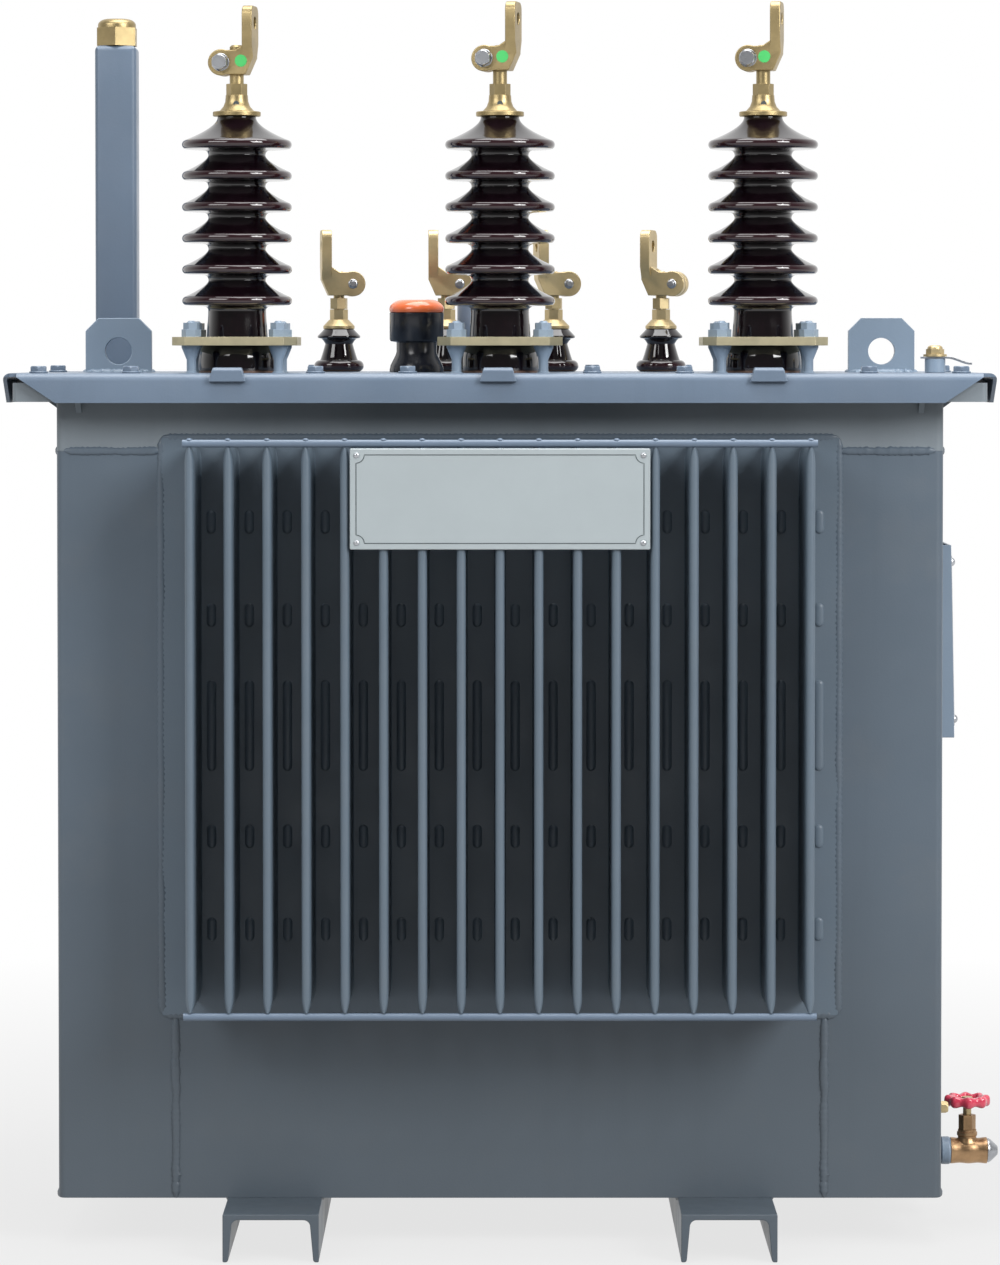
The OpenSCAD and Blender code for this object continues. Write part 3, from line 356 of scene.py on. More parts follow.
def dome(diameter, height):
    """Rivet or pan head: radius follows the cosine and height the sine of an angle from rim to top."""
    angle = np.radians(np.linspace(0, 84, 6))
    profile = np.stack([diameter / 2 * np.cos(angle), height * np.sin(angle)], 1)
    return lathe(np.concatenate([[[diameter / 2, -0.3 * MM]], profile]), 24)


def weld_bead(start, end, out, size, seed):
    """Weld along a straight seam: an ellipse carried from start to end, which swells and shrinks with
    each ripple and with a slow drift, and thins to nothing at both ends. Its size is width, height and
    ripple."""
    width, height, ripple = size
    start, end, out = (np.asarray(value, float) for value in (start, end, out))
    run = np.linalg.norm(end - start)
    along = (end - start) / run
    out = out / np.linalg.norm(out)
    side = np.cross(out, along)
    rows = max(6, int(run / ripple * 2.5))
    s = np.linspace(0, run, rows)
    drift = np.interp(s, np.linspace(0, run, 24), np.random.default_rng(seed).normal(0, 1, 24))
    swell = 1 + 0.16 * np.sin(TURN * s / ripple + 0.8 * drift) + 0.08 * drift
    swell = swell * np.sqrt(np.clip(np.minimum(s, run - s) / width, 0.03, 1))
    wander = 0.03 * width * np.roll(drift, 3)
    angle = np.linspace(0, TURN, 10, endpoint=False)
    ring = (side * np.cos(angle)[:, None] * width / 2 + out * np.sin(angle)[:, None] * height)
    path = start + s[:, None] * along + wander[:, None] * side
    return tube(path[:, None, :] + swell[:, None, None] * ring[None, :, :])


def weld_loop(corners, out, size, seed):
    """Welds between the neighbouring corners of a closed outline, all raised in one direction."""
    ends = list(zip(corners, corners[1:] + corners[:1]))
    return [weld_bead(a, b, out, size, seed + k) for k, (a, b) in enumerate(ends)]


# Finishes: node materials kept by name
FINISHES = {}
# Heights between which the darkening low on the tank's paint fades out
LOW_DARKENING_FULL = 0.15
LOW_DARKENING_NONE = 0.48
# Bends sharper than these are creased in a new piece and rounded in a copy of a CAD node
CREASE = math.radians(38)
SHARP_ANGLE = math.radians(34)
# Corners of a CAD node nearer than this are one, and faces flatter than this are joined
MERGE_DISTANCE = 2e-6
FLAT_ANGLE = math.radians(0.4)


def connect(tree, node, inputs):
    """Sets a node's inputs, by name or by i and a number, to plain values or to other nodes' outputs."""
    for name, value in inputs.items():
        numbered = name[0] == "i" and name[1:].isdigit()
        socket = node.inputs[int(name[1:]) if numbered else name.replace("_", " ")]
        if isinstance(value, bpy.types.NodeSocket):
            tree.links.new(value, socket)
        else:
            socket.default_value = value


def add_node(tree, kind, settings=None, **inputs):
    """New node: settings are its own fields, and inputs are numbers, colours or other nodes' outputs."""
    node = tree.nodes.new(kind)
    for field, value in (settings or {}).items():
        setattr(node, field, value)
    connect(tree, node, inputs)
    return node


def cleared(owner):
    """The emptied node tree of a material or a world."""
    owner.use_nodes = True
    owner.node_tree.nodes.clear()
    return owner.node_tree


def new_finish(name, **sockets):
    """Material with one Principled shader, whose plain values are set on its own sockets."""
    FINISHES[name] = bpy.data.materials.new(name)
    tree = cleared(FINISHES[name])
    shader = add_node(tree, "ShaderNodeBsdfPrincipled", **sockets)
    add_node(tree, "ShaderNodeOutputMaterial", Surface=shader.outputs["BSDF"])
    return tree, shader


def object_space(tree, scale=(1, 1, 1)):
    """Object coordinates stretched by a scale along each axis."""
    coordinates = tree.nodes.new("ShaderNodeTexCoord").outputs["Object"]
    return add_node(tree, "ShaderNodeMapping", Vector=coordinates, Scale=scale).outputs["Vector"]


def noise(tree, vector, scale, detail=3.0, roughness=0.55):
    """Smooth noise from 0 to 1 over a vector."""
    return add_node(tree, "ShaderNodeTexNoise", Vector=vector, Scale=scale, Detail=detail,
                    Roughness=roughness).outputs["Fac"]


def ranged(tree, value, low_in, high_in, low_out, high_out):
    """A value carried from one range to another, held at its ends."""
    return add_node(tree, "ShaderNodeMapRange", Value=value, From_Min=low_in, From_Max=high_in,
                    To_Min=low_out, To_Max=high_out).outputs["Result"]


def blended(tree, factor, first, second):
    """Two colours mixed by a factor."""
    return add_node(tree, "ShaderNodeMix", {"data_type": "RGBA"}, i0=factor, i6=first, i7=second).outputs[2]


def larger(tree, first, second):
    """The larger of two values."""
    return add_node(tree, "ShaderNodeMath", {"operation": "MAXIMUM"}, i0=first, i1=second).outputs[0]


def shade(tint, factor):
    """A colour made lighter or darker, with its alpha."""
    return (*(min(1.0, channel * factor) for channel in tint), 1.0)


def raised(tree, height, distance, strength, **under):
    """Bump from a height, over another bump where one is given as Normal."""
    return add_node(tree, "ShaderNodeBump", Height=height, Distance=distance, Strength=strength,
                    **under).outputs["Normal"]


def evened(tree, value, first, second):
    """The middle of a noise's range carried to a range of its own."""
    return ranged(tree, value, 0.3, 0.7, first, second)


def paint_finish(name, tint, dust, roughness, dust_share, low_darkening_share=0.0):
    """Sprayed paint: slow cloudy shade, faint upright run marks, dust, orange peel and darkening towards the
    bottom.
    """
    tree, shader = new_finish(name, IOR=1.48, Coat_Weight=0.12, Coat_Roughness=0.22)
    even = object_space(tree)
    clouds = noise(tree, even, 4.5, 5)
    streaks = noise(tree, object_space(tree, (26, 26, 1.1)), 1.0, 4, 0.6)
    specks = noise(tree, even, 160, 2)
    base = blended(tree, evened(tree, clouds, 0, 1), shade(tint, 0.93), shade(tint, 1.07))
    base = blended(tree, ranged(tree, streaks, 0.52, 0.78, 0, 0.34), base, shade(tint, 0.80))
    dusty = ranged(tree, noise(tree, even, 11, 6, 0.65), 0.50, 0.80, 0, dust_share)
    base = blended(tree, dusty, base, (*dust, 1))
    base = blended(tree, ranged(tree, specks, 0.66, 0.80, 0, dust_share), base, shade(tint, 0.7))
    height = add_node(tree, "ShaderNodeSeparateXYZ", Vector=even).outputs["Z"]
    # Darker towards the bottom, by a share that fades out between two heights
    low_darkening = ranged(tree, height, LOW_DARKENING_FULL, LOW_DARKENING_NONE, low_darkening_share, 0)
    red, green, blue = tint
    base = blended(tree, low_darkening, base, (red * 0.72, green * 0.66, blue * 0.60, 1))
    gloss = evened(tree, noise(tree, even, 22, 4), roughness - 0.06, roughness + 0.09)
    peel = raised(tree, noise(tree, even, 420, 2), 0.00018, 0.55)
    waves = raised(tree, noise(tree, even, 7, 2), 0.0022, 0.30, Normal=peel)
    connect(tree, shader, {"Base Color": base, "Roughness": gloss, "Normal": waves})


def glaze_finish(name, tint, thin, bare):
    """Dark glaze that thins to a warmer brown on rims, with a mirror coat and a bare ring at the foot."""
    tree, shader = new_finish(name, IOR=1.52, Coat_Weight=0.38, Coat_Roughness=0.03)
    even = object_space(tree)
    mottle = noise(tree, object_space(tree, (60, 60, 26)), 1.0, 4)
    base = blended(tree, ranged(tree, mottle, 0.35, 0.7, 0, 1), shade(tint, 0.75), shade(tint, 1.35))
    for share, glaze in (("thin_glaze", thin), ("bare_foot", bare)):
        place = add_node(tree, "ShaderNodeAttribute", {"attribute_name": share})
        base = blended(tree, place.outputs["Fac"], base, (*glaze, 1))
    gloss = evened(tree, noise(tree, even, 30, 3), 0.05, 0.13)
    skin = raised(tree, noise(tree, even, 55, 2), 0.0006, 0.22)
    connect(tree, shader, {"Base Color": base, "Roughness": gloss, "Normal": skin})


def metal_finish(name, tint, roughness, stain, grain=90.0, dents=0.30):
    """Worked metal: fine grain in the gloss, small dents and a darker stain in patches."""
    tree, shader = new_finish(name, Metallic=1.0)
    even = object_space(tree)
    patches = noise(tree, even, 38, 5, 0.6)
    base = blended(tree, ranged(tree, patches, 0.35, 0.72, 0, 1), shade(tint, 1.10), shade(tint, stain))
    fine = noise(tree, object_space(tree, (1, 1, 5)), grain * 4, 3)
    gloss = evened(tree, fine, roughness - 0.3 * dents, roughness + 0.3 * dents)
    skin = raised(tree, noise(tree, even, grain * 3, 3), 0.0003, dents)
    connect(tree, shader, {"Base Color": base, "Roughness": gloss, "Normal": skin})


def moulded_finish(name, tint, roughness, coat=0.0, cloud=0.07, dust=None):
    """Moulded rubber, plastic, enamel or label stock: faint cloud in the shade and a fine skin."""
    tree, shader = new_finish(name, Coat_Weight=coat, Coat_Roughness=0.12)
    even = object_space(tree)
    clouds = noise(tree, even, 24, 4)
    base = blended(tree, evened(tree, clouds, 0, 1), shade(tint, 1 - cloud), shade(tint, 1 + cloud))
    if dust is not None:
        base = blended(tree, ranged(tree, noise(tree, even, 60, 5), 0.55, 0.8, 0, 0.22), base, (*dust, 1))
    gloss = evened(tree, clouds, roughness - cloud / 2, roughness + cloud / 2)
    skin = raised(tree, noise(tree, even, 700, 2), 0.00012, 0.30)
    connect(tree, shader, {"Base Color": base, "Roughness": gloss, "Normal": skin})


def dress(thing, finish):
    """Gives an object its finish."""
    thing.data.materials.clear()
    thing.data.materials.append(FINISHES[finish])


def placed(name, data):
    """New object in the scene."""
    thing = bpy.data.objects.new(name, data)
    bpy.context.scene.collection.objects.link(thing)
    return thing


def mesh_of(name, shape):
    """Mesh with the points and faces of a shape."""
    mesh = bpy.data.meshes.new(name)
    corners = np.concatenate([shape.quads.ravel(), shape.tris.ravel()]).astype(np.int32)
    sizes = np.concatenate([np.full(len(shape.quads), 4), np.full(len(shape.tris), 3)])
    mesh.vertices.add(len(shape.points))
    mesh.vertices.foreach_set("co", shape.points.astype(np.float32).ravel())
    mesh.loops.add(len(corners))
    mesh.loops.foreach_set("vertex_index", corners)
    mesh.polygons.add(len(sizes))
    mesh.polygons.foreach_set("loop_start", (np.cumsum(sizes) - sizes).astype(np.int32))
    mesh.update(calc_edges=True)
    return mesh


def piece(name, shape, finish, replaces=(), body=BODY, shares=None):
    """New object from a shape, shaded smooth up to a crease angle, which rides on a body."""
    mesh = mesh_of(name, shape)
    mesh.polygons.foreach_set("use_smooth", np.ones(len(mesh.polygons), bool))
    mesh.set_sharp_from_angle(angle=CREASE)
    for share, values in (shares or {}).items():
        mesh.attributes.new(share, "FLOAT", "POINT").data.foreach_set("value", values.astype(np.float32))
    thing = placed(name, mesh)
    dress(thing, finish)
    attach(thing, body)
    if replaces:
        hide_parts(*replaces)


def soft_edged(finish, radius, *nodes):
    """Copies of CAD nodes with their corners merged and flats whole, whose sharp edges a Bevel rounds to
    a radius in millimetres."""
    for node in nodes:
        source = frame["nodes"][node].data
        points = np.empty(len(source.vertices) * 3, np.float32)
        source.vertices.foreach_get("co", points)
        corners = np.empty(len(source.loops), np.int32)
        source.loops.foreach_get("vertex_index", corners)
        mesh = bpy.data.meshes.new(node + "_finished")
        mesh.from_pydata(points.reshape(-1, 3), [], corners.reshape(-1, 3))
        work = bmesh.new()
        work.from_mesh(mesh)
        bmesh.ops.remove_doubles(work, verts=work.verts, dist=MERGE_DISTANCE)
        bmesh.ops.dissolve_limit(work, angle_limit=FLAT_ANGLE, verts=work.verts, edges=work.edges)
        work.to_mesh(mesh)
        work.free()
        mesh.polygons.foreach_set("use_smooth", np.ones(len(mesh.polygons), bool))
        thing = placed(node + "_finished", mesh)
        rounding = thing.modifiers.new("Rounded edges", "BEVEL")
        rounding.width = radius * MM
        rounding.segments = 2
        rounding.limit_method = "ANGLE"
        rounding.angle_limit = SHARP_ANGLE
        rounding.harden_normals = True
        dress(thing, finish)
        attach(thing, BODY)
        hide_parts(node)


class FinishOperator(bpy.types.Operator):
    """Makes every paint, glaze, metal and moulded finish"""

    bl_idname = "transformer.finishes"
    bl_label = "Make finishes"

    # Finish, colour, roughness, share of dust and share of darkening towards the bottom
    # All paints but the tank's are lighter copies of it: painted light for parts that catch more light
    PAINTS = (("tank_paint", "tank_paint", 0.42, 0.16, 0.60), ("fin_paint", "fin_paint", 0.40, 0.12),
              ("collar_paint", "collar_paint", 0.46, 0.12), ("cover_paint", "cover_paint", 0.37, 0.04),
              ("stud_paint", "fitting_paint", 0.40, 0.10), ("fitting_paint", "fitting_paint", 0.36, 0.04))
    # Finish, colour, roughness, shade of the stain, fineness of the grain and depth of the dents
    METALS = (("brass", "brass", 0.44, 0.84, 60, 0.12), ("aged_brass", "aged_brass", 0.40, 0.80, 60, 0.12),
              ("bronze", "bronze", 0.38, 0.62, 60), ("zinc", "zinc", 0.42, 0.88, 90, 0.12),
              ("steel", "steel", 0.30, 0.85, 90, 0.08), ("plate_metal", "steel", 0.36, 0.88),
              ("strap_metal", "steel", 0.34, 0.82), ("plug_metal", "steel", 0.32, 0.62))
    # Finish, colour, roughness, weight of the coat and depth of the cloud
    MOULDED = (("black_plastic", "black", 0.24, 0.20), ("orange_plastic", "orange", 0.20, 0.60),
               ("enamel", "enamel", 0.26, 0.35, 0.02), ("line", "line", 0.40),
               ("wheel_red", "red", 0.20, 0.70), ("green_dot", "green", 0.45))

    def execute(self, context):
        colours = context.scene.transformer_colours
        for name, tint, *values in self.PAINTS:
            paint_finish(name, getattr(colours, tint), colours.dust, *values)
        for make, rows in ((metal_finish, self.METALS), (moulded_finish, self.MOULDED)):
            for name, tint, *values in rows:
                make(name, getattr(colours, tint), *values)
        moulded_finish("gasket", colours.gasket, 0.70, dust=colours.dust)
        glaze_finish("glaze", colours.porcelain, colours.thin_glaze, colours.bare_foot)
        return {"FINISHED"}


class TankOperator(bpy.types.Operator):
    """Dresses the welded tank and its base in paint, with their edges eased"""

    bl_idname = "transformer.tank"
    bl_label = "Dress tank"

    def execute(self, context):
        for side in ("left", "right"):
            soft_edged("tank_paint", 1.2, "base_channel_" + side)
            soft_edged("tank_paint", 0.6, "end_wall_" + side)
        soft_edged("tank_paint", 0.4, "front_lower_plate", "rear_lower_plate")
        # Top frame in the lighter collar paint: painted light in the cover's shadow
        soft_edged("collar_paint", 0.8, "top_frame")
        # Bracket, drain stub and tap changer post in lighter paints: painted light
        soft_edged("fitting_paint", 0.6, "plate_bracket")
        soft_edged("fitting_paint", 0.8, "drain_stub")
        soft_edged("cover_paint", 1.0, "tap_changer_post")
        # Fin rods in the lighter cover paint: painted light, as for a sunlit upper rod
        for node, finish in (("tank_floor", "tank_paint"), ("fin_rods", "cover_paint"),
                             ("cover_gasket", "gasket")):
            dress(frame["nodes"][node], finish)
        return {"FINISHED"}


def fin_shape(fins, bottom, top, root, tip):
    """One fin: an outline that runs out to a round tip and back, stacked from bottom to top. Its half
    width swells by a sine over each pinched end, and flares at the root."""
    full, edge = fins.thickness / 2, fins.end_edge / 2
    way = np.linspace(0, 1, 10)
    rise = fins.pinch * (0.6 * (1 - np.cos(way * math.pi / 2)) + 0.4 * way)
    swell = np.sin(way * math.pi / 2)
    body = np.linspace(bottom + fins.pinch, top - fins.pinch, 14)[1:-1]
    level = np.concatenate([bottom + rise, body, top - rise[::-1]])
    half = edge + (full - edge) * np.concatenate([swell, np.ones(len(body)), swell[::-1]])
    nose = arc((0, 0), 1.0, 180, 360, 13)
    depth = np.array([0, 0.3, 0.6, 1.0]) * fins.root_flare
    flare = fins.root_flare * (1 - np.sqrt(1 - (1 - depth / fins.root_flare) ** 2))
    sides = np.array([0.35, 0.65])
    left_x = np.concatenate([-flare / full - 1, -np.ones(2)])
    left_y = np.concatenate([root - depth, root + (tip - root) * sides])
    across = np.concatenate([left_x, nose[:, 0], -left_x[::-1]])
    out = np.concatenate([left_y, tip + full + nose[:, 1] * full, left_y[::-1]])
    x = half[:, None] * across[None, :]
    y = np.broadcast_to(out, x.shape)
    z = np.broadcast_to(level[:, None], x.shape)
    return tube(np.stack([x, y, z], -1))


def bead_shape(fins, run):
    """Pressed bead: a long round-ended outline that shrinks by a cosine as it rises by a sine."""
    radius = fins.bead_width / 2
    reach = run / 2 - radius
    angle = np.radians(np.array([0, 14, 30, 46, 62, 78]))
    upper = arc((0, 0), 1.0, 0, 180, 9)
    lower = arc((0, 0), 1.0, 180, 360, 9)
    ends = np.concatenate([upper, lower])
    shift = np.concatenate([np.full(9, reach), np.full(9, -reach)])
    shrink = np.cos(angle)[:, None] * radius
    x = shrink * ends[:, 0]
    y = shrink * ends[:, 1] + shift
    lift = np.broadcast_to(np.sin(angle)[:, None] * fins.bead_height, x.shape)
    base = np.stack([x[0], y[0], np.full(18, -0.4 * MM)], -1)
    return tube(np.concatenate([base[None], np.stack([x, y, lift], -1)]))


class FinOperator(bpy.types.Operator):
    """Makes the corrugated panels: pinched fins, pressed beads and lapped sheets"""

    bl_idname = "transformer.fins"
    bl_label = "Make fin panels"

    # Height of each row as a share of the panel's, and whether its beads are long
    BEAD_ROWS = ((0.855, False), (0.694, False), (0.503, True), (0.311, False), (0.150, False))

    def execute(self, context):
        fins = context.scene.transformer_fins
        corner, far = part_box("front_fin_panel")
        width, height = far.x - corner.x, far.z - corner.z
        span = width - 2 * fins.margin
        columns = np.linspace(-span / 2, span / 2, round(span / fins.pitch) + 1)
        face = TANK_FACE - fins.sheet
        sheet = pointed(plate(width, height, fins.sheet, 1.0 * MM, 0.5 * MM), (0, -1))
        shapes = [moved(sheet, (0, TANK_FACE, corner.z + height / 2))]
        fin = fin_shape(fins, corner.z + fins.foot, far.z - fins.head, face + 0.5 * MM, corner.y)
        shapes.append(copies(fin, [(x, 0, 0) for x in columns]))
        for share, is_long in self.BEAD_ROWS:
            bead = pointed(bead_shape(fins, fins.bead_long if is_long else fins.bead_short), (0, -1))
            level = corner.z + share * height
            shapes.append(copies(bead, [(x + fins.bead_shift, face, level) for x in columns]))
        front = merged(shapes)
        # Fin panels in the lighter fin paint: painted light on their tips
        piece("front_fins", front, "fin_paint", ["front_fin_panel"])
        piece("rear_fins", turned(front, math.pi), "fin_paint", ["rear_fin_panel"])
        blobs = self.rod_welds(fins, columns, corner.y, far.z - fins.head)
        # Rod welds in the lighter cover paint: painted light
        piece("rod_welds", merged([blobs, turned(blobs, math.pi)]), "cover_paint")
        return {"FINISHED"}

    def rod_welds(self, fins, columns, tip, top):
        """Small round weld spots on top of the upper rod, one over each fin."""
        crown = arc((0, 0), 1.0, 0, 80, 5) * (3.4 * MM, 1.9 * MM)
        blob = lathe(np.concatenate([[[2.6 * MM, -1.2 * MM]], crown]), 14)
        return copies(blob, [(x, tip + fins.rod / 2, top + fins.rod - 0.3 * MM) for x in columns])


class WeldOperator(bpy.types.Operator):
    """Lays the weld beads on the tank's seams"""

    bl_idname = "transformer.welds"
    bl_label = "Lay welds"

    def execute(self, context):
        fasteners = context.scene.transformer_fasteners
        size = (fasteners.weld_width, fasteners.weld_height, fasteners.weld_ripple)
        corner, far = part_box("front_fin_panel")
        plate_low, plate_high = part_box("front_lower_plate")
        end, face = TANK_END, TANK_FACE
        out = (0, -1, 0)
        front = weld_loop([(corner.x, face, corner.z), (far.x, face, corner.z), (far.x, face, far.z),
                           (corner.x, face, far.z)], out, size, 10)
        for x in (plate_low.x, plate_high.x):
            front.append(weld_bead((x, face, TANK_FLOOR), (x, face, corner.z), out, size, 21))
        for side in (-1, 1):
            outer, inner = (side * (end - 8 * MM), face, COLLAR_SEAM), (side * far.x, face, COLLAR_SEAM)
            front.append(weld_bead(outer, inner, out, size, 30 + side))
        seams = merged(front)
        piece("panel_welds_front", seams, "tank_paint")
        piece("panel_welds_rear", turned(seams, math.pi), "tank_paint")
        reach = -face - 8 * MM
        ends = [weld_bead((side * end, reach, z), (side * end, -reach, z), (side, 0, 0), size, 40 + side)
                for side in (-1, 1) for z in (COLLAR_SEAM, TANK_FLOOR + 3 * MM)]
        piece("end_welds", merged(ends), "tank_paint")
        # Foot welds in the lighter fitting paint: painted light
        piece("foot_welds", merged(self.lug_and_pipe_feet(size)), "fitting_paint")
        piece("channel_welds", merged(self.channel_seams(size)), "tank_paint")
        return {"FINISHED"}

    def lug_and_pipe_feet(self, size):
        """Fillet welds round the feet of the lifting lugs and the filler pipe."""
        width, height, ripple = size
        fillet = (width, height * 1.5, ripple)
        welds = []
        for node in ("lifting_lug_left", "lifting_lug_right", "filler_pipe"):
            start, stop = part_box(node)
            corners = [(start.x, start.y, COVER_TOP), (stop.x, start.y, COVER_TOP),
                       (stop.x, stop.y, COVER_TOP), (start.x, stop.y, COVER_TOP)]
            welds += weld_loop(corners, (0, 0, 1), fillet, 60)
        return welds

    def channel_seams(self, size):
        """Fillet welds between the base channels and the tank's floor."""
        reach = TANK_FACE + 6 * MM
        welds = []
        for side in ("left", "right"):
            start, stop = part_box("base_channel_" + side)
            for x, out in ((start.x, -1), (stop.x, 1)):
                front, rear = (x, reach, TANK_FLOOR), (x, -reach, TANK_FLOOR)
                welds.append(weld_bead(front, rear, (out, 0, 0), size, 80))
        return welds


class CoverOperator(bpy.types.Operator):
    """Dresses the cover and its fittings, and sets the cover bolts"""

    bl_idname = "transformer.cover"
    bl_label = "Dress cover"

    # Places in the front row, counted from the middle, that a tab takes up
    TABBED = (-3, 0, 3)

    def execute(self, context):
        fasteners = context.scene.transformer_fasteners
        # Cover, tabs and filler pipe wear the lighter cover paint, and the lugs and earth boss the lighter fitting
        # paint: painted light
        soft_edged("cover_paint", 0.9, "cover")
        soft_edged("cover_paint", 1.2, "cover_tabs", "filler_pipe")
        soft_edged("aged_brass", 1.2, "filler_cap")
        soft_edged("fitting_paint", 0.8, "earth_boss")
        soft_edged("brass", 0.9, "earth_bolt")
        soft_edged("strap_metal", 0.3, "earth_strap")
        soft_edged("black_plastic", 0.8, "relief_valve_body")
        soft_edged("orange_plastic", 0.8, "relief_valve_cap")
        soft_edged("fitting_paint", 1.0, "lifting_lug_left", "lifting_lug_right")
        self.cover_bolts(fasteners)
        return {"FINISHED"}

    def cover_bolts(self, fasteners):
        """Bolts on washers along front and rear, none behind a tab, and one midway along each end."""
        reach = high("cover") - Vector((fasteners.cover_edge, fasteners.cover_edge, 0))
        front, rear = fasteners.cover_pitch, fasteners.cover_rear_pitch
        count, rear_count = int(reach.x / front), int(reach.x / rear)
        row = [(k * front, -reach.y, COVER_TOP) for k in range(-count, count + 1) if k not in self.TABBED]
        row += [(k * rear, reach.y, COVER_TOP) for k in range(-rear_count, rear_count + 1)]
        ends = [(side * count * front, 0, COVER_TOP) for side in (-1, 1)]
        one = bolt(fasteners.cover_flats, fasteners.cover_head, fasteners.cover_washer, 2.0 * MM)
        # Bolts in the lighter cover paint: painted light
        piece("cover_bolts", copies(one, row + ends), "cover_paint")


def shed_outline(sizes, level, rise, inner, hollow):
    """Half outline of one shed: flat underside, round rim, and an upper slope whose radius falls with a
    power of the way up."""
    core, rim, edge = sizes.hv_core, sizes.hv_shed, sizes.hv_rim
    under = np.array([(core, -edge - 5 * MM), (core + 1.5 * MM, -edge - 1.8 * MM),
                      (core + 5 * MM, -edge - 0.6 * MM), (rim - edge - 2 * MM, -edge)])
    lip = arc((rim - edge, 0), edge, -60, 60, 12)
    way = np.linspace(0, 1, 10)[1:]
    start = edge * math.sin(math.pi / 3)
    slope = inner + (rim - edge / 2 - inner) * (1 - way) ** hollow
    upper = np.stack([slope, start + (rise - start) * way], 1)
    return np.concatenate([under, lip, upper]) + (0, level)


def hv_outline(sizes):
    """Half outline of a high-voltage bushing: domed foot, tapered neck, sheds and top cone."""
    top = high("hv_porcelain_middle").z - COVER_TOP
    foot, shoulder, rise = sizes.hv_foot, sizes.hv_shoulder, sizes.hv_foot_height
    angle = np.radians(np.arange(0, 91, 10))
    bell = np.stack([shoulder + (foot - shoulder) * np.cos(angle), rise * (0.35 + 0.65 * np.sin(angle))], 1)
    neck = [(sizes.hv_neck, rise), (sizes.hv_neck, rise + 12 * MM)]
    levels = sizes.hv_first + np.arange(sizes.hv_sheds) * sizes.hv_pitch
    reach = sizes.hv_pitch - sizes.hv_rim - 6.7 * MM
    sheds = [shed_outline(sizes, level, reach, sizes.hv_core, sizes.hv_hollow) for level in levels[:-1]]
    last = levels[-1]
    sheds.append(shed_outline(sizes, last, top - last - 1.7 * MM, sizes.hv_top, sizes.hv_cone))
    crown = [(sizes.hv_top, top - 0.8 * MM), (sizes.hv_top - 0.8 * MM, top)]
    return eased(np.concatenate([[(foot - 1 * MM, 0), (foot, 2 * MM)], bell, neck, *sheds, crown]), 2)


def lv_outline(sizes):
    """Half outline of a low-voltage bushing: rolled foot, straight cone, waist and sharp collar."""
    top = high("lv_porcelain").z - COVER_TOP
    waist, rim, rise, roll = sizes.lv_waist, sizes.lv_shed, sizes.lv_waist_height, sizes.lv_roll
    foot = arc((sizes.lv_foot - roll, roll), roll, -90, 95, 16)
    collar = arc((rim - 2 * MM, rise + 7.5 * MM), 2 * MM, -50, 50, 7)
    return eased(np.concatenate([
        foot, [(waist, rise - 1 * MM), (waist, rise), (rim - 5 * MM, rise + 5 * MM)], collar,
        [(waist + 2 * MM, top - 1.5 * MM), (waist + 1 * MM, top)]]), 2)


class BushingOperator(bpy.types.Operator):
    """Turns the glazed bushings and dresses their clamps"""

    bl_idname = "transformer.bushings"
    bl_label = "Make bushings"

    SIDES = 96

    def execute(self, context):
        sizes = context.scene.transformer_porcelain
        profile = hv_outline(sizes)
        for side in HV_SIDES:
            node = "hv_porcelain_" + side
            self.bushing("hv_glaze_" + side, profile, [(middle(node).x, HV_MIDDLE.y, COVER_TOP)], [node])
        steps = (np.arange(4) - 1.5) * sizes.lv_spacing
        places = [(x, middle("lv_porcelain").y, COVER_TOP) for x in steps]
        self.bushing("lv_glaze", lv_outline(sizes), places, ["lv_porcelain"])
        soft_edged("zinc", 2.0, "hv_clamp_plates")
        # Studs in a lighter copy of the fitting paint: painted light
        soft_edged("stud_paint", 1.0, "hv_clamp_studs")
        return {"FINISHED"}

    def bushing(self, name, profile, places, nodes):
        """Lathed porcelain at each place. The glaze thins on the outermost tenth of the radius, and the
        lowest millimetres are bare."""
        reach = profile[:, 0].max()
        thin = 0.7 * np.clip((profile[:, 0] / reach - 0.9) / 0.1, 0, 1) ** 2
        bare = np.clip(2 - profile[:, 1] / (1.2 * MM), 0, 1)
        shares = {"thin_glaze": self.round_all(thin, len(places)),
                  "bare_foot": self.round_all(bare, len(places))}
        piece(name, copies(lathe(profile, self.SIDES), places), "glaze", nodes, shares=shares)

    def round_all(self, values, count):
        """The profile's values repeated round every ring, with a value for each of the two poles."""
        return np.tile(np.concatenate([np.repeat(values, self.SIDES), values[[0, -1]]]), count)


